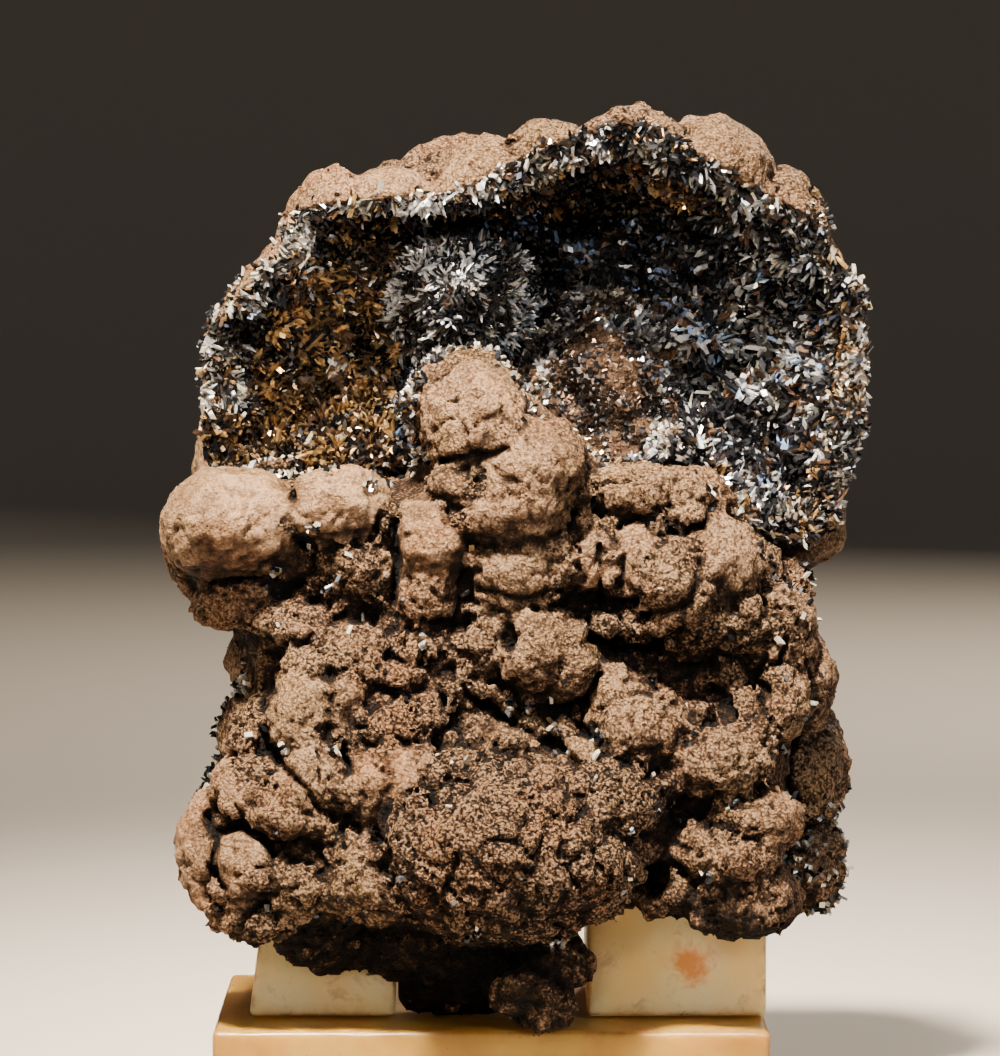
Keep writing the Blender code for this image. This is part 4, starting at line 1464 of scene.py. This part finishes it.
def crust_faces(count, coarse):
    """The faces of the crust's front, its coarser back, its pole and its rim."""
    step = np.arange(CRUST_SPOKES)
    after = (step + 1) % CRUST_SPOKES
    last = count - CRUST_SPOKES
    last_back = count + (coarse - 1) * CRUST_SPOKES
    return np.concatenate((
        ring_faces(CRUST_RINGS, CRUST_SPOKES),
        ring_faces(coarse, CRUST_SPOKES, count)[:, ::-1],
        np.stack((last + step, last + after, last_back + after, last_back + step), axis=1),
        np.stack((step + count, after + count, after, step), axis=1)))


def crust_tints(places, fraction):
    """The ground's colours: gold at the left, brown on the second mound and dusty at the rim."""
    tints = np.tile(GROUND, (len(places), 1))
    for colour, share in ((GOLD_GROUND, np.clip((-8 - places[:, 0]) / 12, 0, 1)),
                          (RED_GROUND, mound_brown(places[:, 0], places[:, 2])),
                          (RIM_GROUND, np.clip((fraction - 0.93) / 0.05, 0, 1))):
        tints = tints * (1 - share[:, None]) + np.array(colour) * share[:, None]
    return tints


def make_crust(material):
    """The crumbly ground of the crust, and its open face for the crystals to stand on."""
    wall, way, fraction = crust_surface(CRUST_SPOKES, CRUST_RINGS)
    lip = np.clip((fraction - CRUST_LIP) / 0.015, 0, 1)[:, :, None]
    flat = wall + way * (CRUST_RISE * (1 - lip) - 0.5 * lip) + np.array((0, -1.0, 0)) * lip
    flat = flat.reshape(-1, 3)
    fraction = fraction.reshape(-1)
    edge = np.clip((1 - fraction) * 12, 0, 1)
    mounds, waves, crumbs = CRUST_BUMPS
    bumps = mounds * (0.55 - scattered_cells(flat, CLUSTER)[0]) + waves * smooth_noise(flat, 6.0, 0)
    bumps += crumbs * (np.abs(smooth_noise(flat, 1.4, 2)) - 0.3)
    front = flat + way.reshape(-1, 3) * (bumps * edge)[:, None]
    behind, _, _ = crust_surface(CRUST_SPOKES, CRUST_RINGS, MOUND_INSET + 0.8)
    coarse = sorted({*range(0, CRUST_RINGS, 4), CRUST_RINGS - 1})
    back = (behind + way * 0.3)[coarse].reshape(-1, 3)
    places = np.concatenate((front, back))
    tints = crust_tints(places, np.concatenate((fraction, np.ones(len(back)))))
    faces = crust_faces(len(front), len(coarse))
    obj = build_mesh("pyrolusite_crust_ground", places, faces, tint=tints)
    dress(obj, material, "pyrolusite", "pyrolusite_crust")
    front_faces = ring_faces(CRUST_RINGS, CRUST_SPOKES)
    normals = vertex_normals(front, front_faces)
    if (normals * way.reshape(-1, 3)).sum() < 0:
        normals = -normals
    return front, front_faces, normals, fraction


def mound_brown(x, z):
    """How brown and bare of crystals the second mound's middle is."""
    middle_x, middle_z, wide, high = BARE_MOUND
    away = np.hypot((x - middle_x) / wide, (z - middle_z) / high)
    return np.clip((1.25 - away) * 3, 0, 1)


def spread_over(places, faces, weights, count, rng):
    """Random places on the faces, thick where the weights are high."""
    a, b, c, d = (places[faces[:, n]] for n in range(4))
    area = np.linalg.norm(np.cross(c - a, d - b), axis=1) * weights[faces].mean(axis=1)
    chance = area / area.sum()
    picks = rng.choice(len(faces), size=count, p=chance)
    u, v = rng.random((2, count, 1))
    corners = faces[picks]
    shares = ((1 - u) * (1 - v), u * (1 - v), u * v, (1 - u) * v)
    return corners, shares


def crystal_mesh(name, centres, axes, sizes, tints, rng):
    """Many small flat-faced prisms with slanted ends, as one mesh."""
    count = len(centres)
    other = rng.normal(size=(count, 3))
    across = np.cross(axes, other)
    across /= np.linalg.norm(across, axis=1, keepdims=True)
    along = np.cross(axes, across)
    length, width, thick = sizes.T
    slant = rng.uniform(-0.25, 0.25, size=(count, 2))
    taper = rng.uniform(0.8, 1.0, size=count)
    corners = []
    for top in (0, 1):
        for u, v in ((-1, -1), (1, -1), (1, 1), (-1, 1)):
            shrink = taper if top else 1.0
            rise = length * top * (1 + slant[:, 0] * u + slant[:, 1] * v) - SINK * (1 - top)
            rise = rise[:, None] * axes
            corners.append(centres + rise + (across * (u * width * shrink / 2)[:, None]
                                             + along * (v * thick * shrink / 2)[:, None]))
    places = np.stack(corners, axis=1).reshape(-1, 3)
    sides = [(0, 3, 2, 1), (4, 5, 6, 7), (0, 1, 5, 4), (1, 2, 6, 5), (2, 3, 7, 6), (3, 0, 4, 7)]
    faces = (np.array(sides)[None] + 8 * np.arange(count)[:, None, None]).reshape(-1, 4)
    return build_mesh(name, places, faces, False, tint=np.repeat(tints, 8, axis=0))


def choose_tints(mix, rng, own):
    """A tint for each crystal from a mix of named tints, mostly alike within a cluster."""
    names = list(mix)
    count = len(own)
    shares = np.cumsum([mix[name] for name in names])
    place = (17.0 * own + rng.normal(size=count) * CLUSTER_MIX) % 1.0
    picks = np.searchsorted(shares / shares[-1], place)
    picks = np.minimum(picks, len(names) - 1)
    tints = np.array([TINTS[name] for name in names])[picks]
    return tints * rng.uniform(0.75, 1.2, size=(count, 1))


def zone_of(places, fraction):
    """Which of the hollow's zones each place lies in."""
    x, z = places[:, 0], places[:, 2]
    zone = np.full(len(places), "cave", dtype="<U8")
    zone[x < -13] = "left"
    zone[x > 27] = "right"
    zone[(z > 124) & (np.abs(x - 14) < 18)] = "ceiling"
    zone[np.hypot(x + 4, z - 112) < 11] = "mound"
    zone[(np.hypot(x - 15, z - 101) < 13) & (zone != "mound")] = "second"
    zone[mound_brown(x, z) > 0.5] = "grains"
    zone[(fraction > 0.92) & ((z > 97) | (x > 30))] = "rim"
    return zone


def crystal_painted_light(spots, zones, bright):
    """How bright each crystal is painted, as painted light: bright clusters as painted glints, alike
    in a cluster, more or less from patch to patch, brighter by zone and with painted shade on the
    sill.
    """
    painted_light = 0.28 + 1.9 * bright ** 2
    for layer, (amount, size) in enumerate(PATCH_PAINTED_LIGHT, 1):
        painted_light = painted_light + amount * smooth_noise(spots, size, layer)
    for name, factor in ZONE_PAINTED_LIGHT.items():
        painted_light = np.where(zones == name, factor * painted_light, painted_light)
    # Painted shade on the sill behind the left lobes
    sill = np.clip((100 - spots[:, 2]) / 6, 0, 1) * (spots[:, 0] < -8)
    return np.clip(painted_light, 0.10, 1.8) * (1 - SILL_PAINTED_SHADE * sill)


def grow_crystals(surface, rng, material):
    """The crystals that cover the crust."""
    places, faces, normals, fraction = surface
    weights = 1.0 + 0.6 * mound_brown(places[:, 0], places[:, 2])
    corners, shares = spread_over(places, faces, weights, CRYSTALS, rng)
    spots = sum(places[corners[:, n]] * shares[n] for n in range(4))
    outs = sum(normals[corners[:, n]] * shares[n] for n in range(4))
    zones = zone_of(spots, sum(fraction[corners[:, n]] * shares[n][:, 0] for n in range(4)))
    seeds, bright = nearest_seed(spots, CLUSTER)
    axes = 1.5 * (spots - seeds) / CLUSTER + 0.5 * outs + rng.normal(size=outs.shape) * 0.6
    axes /= np.linalg.norm(axes, axis=1, keepdims=True)
    sizes = np.zeros((CRYSTALS, 3))
    tints = np.zeros((CRYSTALS, 3))
    for name, (length, width, mix) in ZONES.items():
        mask = zones == name
        count = mask.sum()
        sizes[mask, 0] = rng.uniform(*length, size=count)
        sizes[mask, 1] = rng.uniform(*width, size=count)
        sizes[mask, 2] = sizes[mask, 1] * rng.uniform(0.5, 1.0, size=count)
        tints[mask] = choose_tints(mix, rng, bright[mask])
    tints = np.clip(tints * crystal_painted_light(spots, zones, bright)[:, None], 0, 0.95)
    sizes *= (0.75 + 0.5 * bright)[:, None]
    half = spots[:, 0] < np.median(spots[:, 0])
    for name, mask in (("pyrolusite_crystals_left", half), ("pyrolusite_crystals_right", ~half)):
        obj = crystal_mesh(name, spots[mask], axes[mask], sizes[mask], tints[mask], rng)
        dress(obj, material, "pyrolusite", "pyrolusite_crust")


def between(values, low, high, fade=2.5):
    """1 between two limits, and softly down to 0 outside them."""
    above = np.clip((values - low) / fade + 0.5, 0, 1)
    return above * np.clip((high - values) / fade + 0.5, 0, 1)


def edge_weights(places, normals):
    """Where crystals grow on the rock: round the rim, behind the knob and lobes, on the sides."""
    x, y, z = places.T
    fraction, _, rim_y = rim_at(x, z)
    drift = smooth_noise(places, 5.0, 2)
    wander = 2.5 * drift
    rim = np.exp(-((fraction - 0.99) / 0.05) ** 2) * (z > 80) * between(y - rim_y + wander, -4, 4)
    side = np.maximum(between(-x, 32, 99), between(x, 44, 99)) * between(z, 84, 200)
    side = side * between(y + wander, -3, 8) * (fraction > 0.95) * (0.55 + 0.6 * drift)
    away = np.hypot(x + 3, z - 98)
    knob = (away > 6.8) * between(away, -1, 12.5) * between(z + wander, 92, 200)
    knob = 2.2 * knob * between(y + wander, -12, 0) * between(x + wander, -99, 5)
    lobes = between(z, 85, 94) * between(x + wander, -45, -13) * between(y + wander, -4.5, 1)
    lobes = lobes * (normals[:, 2] > 0.7) * (1.6 + 0.8 * drift)
    weight = np.max((rim, side, knob, lobes, np.zeros(len(places))), axis=0)
    for out, least, low, high, front, back, base in SIDE_PATCHES:
        patch = between(out * x, least, 99) * between(z + wander, low, high)
        patch = patch * between(y + wander, front, back) * (base + 0.9 * drift)
        weight = np.maximum(weight, patch)
    weight[(fraction < 0.9) & (y > 0)] = 0
    return weight / weight.sum()


def grow_edge_crystals(surface, rng, material):
    """Crystals on the rock itself, with bright flecks on its brown front."""
    places, normals, skin = surface
    x, y, z = places.T
    picks = [rng.choice(len(places), size=EDGE_CRYSTALS, p=edge_weights(places, normals))]
    loose = (y < -4) & (z > 27) & (skin > 0.45)
    picks.append(rng.choice(np.flatnonzero(loose), size=LOOSE_FLECKS))
    for fleck_x, fleck_z in FLECKS:
        near = np.flatnonzero((np.hypot(x - fleck_x, z - fleck_z) < 0.9) & (y < 0))
        front = near[y[near] < y[near].min() + 1.5]
        picks.append(rng.choice(front, size=FLECK_CRYSTALS))
    picks = np.concatenate(picks)
    spots = places[picks]
    axes = normals[picks] + rng.normal(size=spots.shape) * 0.6
    axes /= np.linalg.norm(axes, axis=1, keepdims=True)
    sizes = np.stack([rng.uniform(*limits, len(picks)) for limits in EDGE_SIZES], axis=1)
    tints = choose_tints(ZONES["rim"][2], rng, rng.random(len(picks)))
    obj = crystal_mesh("pyrolusite_crystals_edge", spots, axes, sizes, tints, rng)
    dress(obj, material, "pyrolusite", "pyrolusite_crust")


def block_lines(low, high, radius, step):
    """Grid lines along one side of a block, closer together at its rounded edges."""
    inner = np.linspace(low + radius, high - radius, max(2, int((high - low) / step)))
    edge = radius * np.array((0, 0.3, 0.6))
    return np.concatenate((low + edge, inner, (high - edge)[::-1]))


def block_sheets(lines):
    """The six flat sides of a block as vertices and faces that point out, with shared edges."""
    places = []
    faces = []
    for axis, side in itertools.product(range(3), (0, 1)):
        u, v = [n for n in range(3) if n != axis]
        a, b = np.meshgrid(lines[u], lines[v], indexing="ij")
        sheet = np.zeros((a.size, 3))
        sheet[:, axis] = lines[axis][-side]
        sheet[:, u] = a.ravel()
        sheet[:, v] = b.ravel()
        rows, columns = a.shape
        i, j = np.meshgrid(np.arange(rows - 1), np.arange(columns - 1), indexing="ij")
        quad = np.stack((i * columns + j, (i + 1) * columns + j,
                         (i + 1) * columns + j + 1, i * columns + j + 1), axis=2).reshape(-1, 4)
        outward = (side == 1) == (axis != 1)
        faces.append((quad if outward else quad[:, ::-1]) + sum(len(p) for p in places))
        places.append(sheet)
    places = np.concatenate(places)
    _, first, new = np.unique(np.round(places, 4), axis=0, return_index=True, return_inverse=True)
    return places[first], new.ravel()[np.concatenate(faces)]


def make_block(name, ranges, slant, material):
    """One stand block with rounded, slightly worn edges and gently wavy faces."""
    places, faces = block_sheets([block_lines(low, high, BLOCK_RADIUS, 1.3) for low, high in ranges])
    low, high = np.array(ranges).T
    gaps = np.sort(np.concatenate((places - low, high - places), axis=1), axis=1)
    core = np.clip(places, low + BLOCK_RADIUS, high - BLOCK_RADIUS)
    way = places - core
    way /= np.linalg.norm(way, axis=1, keepdims=True)
    edge = 1 - np.abs(way).max(axis=1)
    wave = 0.07 * smooth_noise(places, 11.0, 0) - 0.05
    chips = np.clip(smooth_noise(places, 1.7, 1) - 0.35, 0, 1) * np.clip(edge * 4, 0, 1)
    places = core + way * (BLOCK_RADIUS + wave - 0.9 * chips)[:, None]
    share = (high[0] - places[:, 0]) / (high[0] - low[0])
    places[:, 0] += slant * share * (places[:, 2] - low[2]) / (high[2] - low[2])
    dirt = np.exp(-gaps[:, 1] / 0.8)
    # 1 on the base, which takes the tones of painted shade; 0 on the uprights, which take the painted
    # light
    deep = np.full(len(places), float(name == "stand_base"))
    obj = build_mesh(name + "_finish", places, faces, edge=dirt, deep=deep)
    dress(obj, material, "acrylic", name)


def main():
    """Clears what a new scene comes with, and makes the specimen, its stand and the stage."""
    for obj in [obj for obj in bpy.data.objects if obj.name in ("Cube", "Light", "Camera")]:
        bpy.data.objects.remove(obj)
    rng = np.random.default_rng(SEED)
    crystal = crystal_material()
    surface = make_rock(rng, rock_material())
    grow_crystals(make_crust(ground_material()), rng, crystal)
    grow_edge_crystals(surface, rng, crystal)
    acrylic = acrylic_material()
    for name, (*ranges, slant) in STAND.items():
        make_block(name, ranges, slant, acrylic)
    make_floor()
    make_lights()
    make_camera()


main()
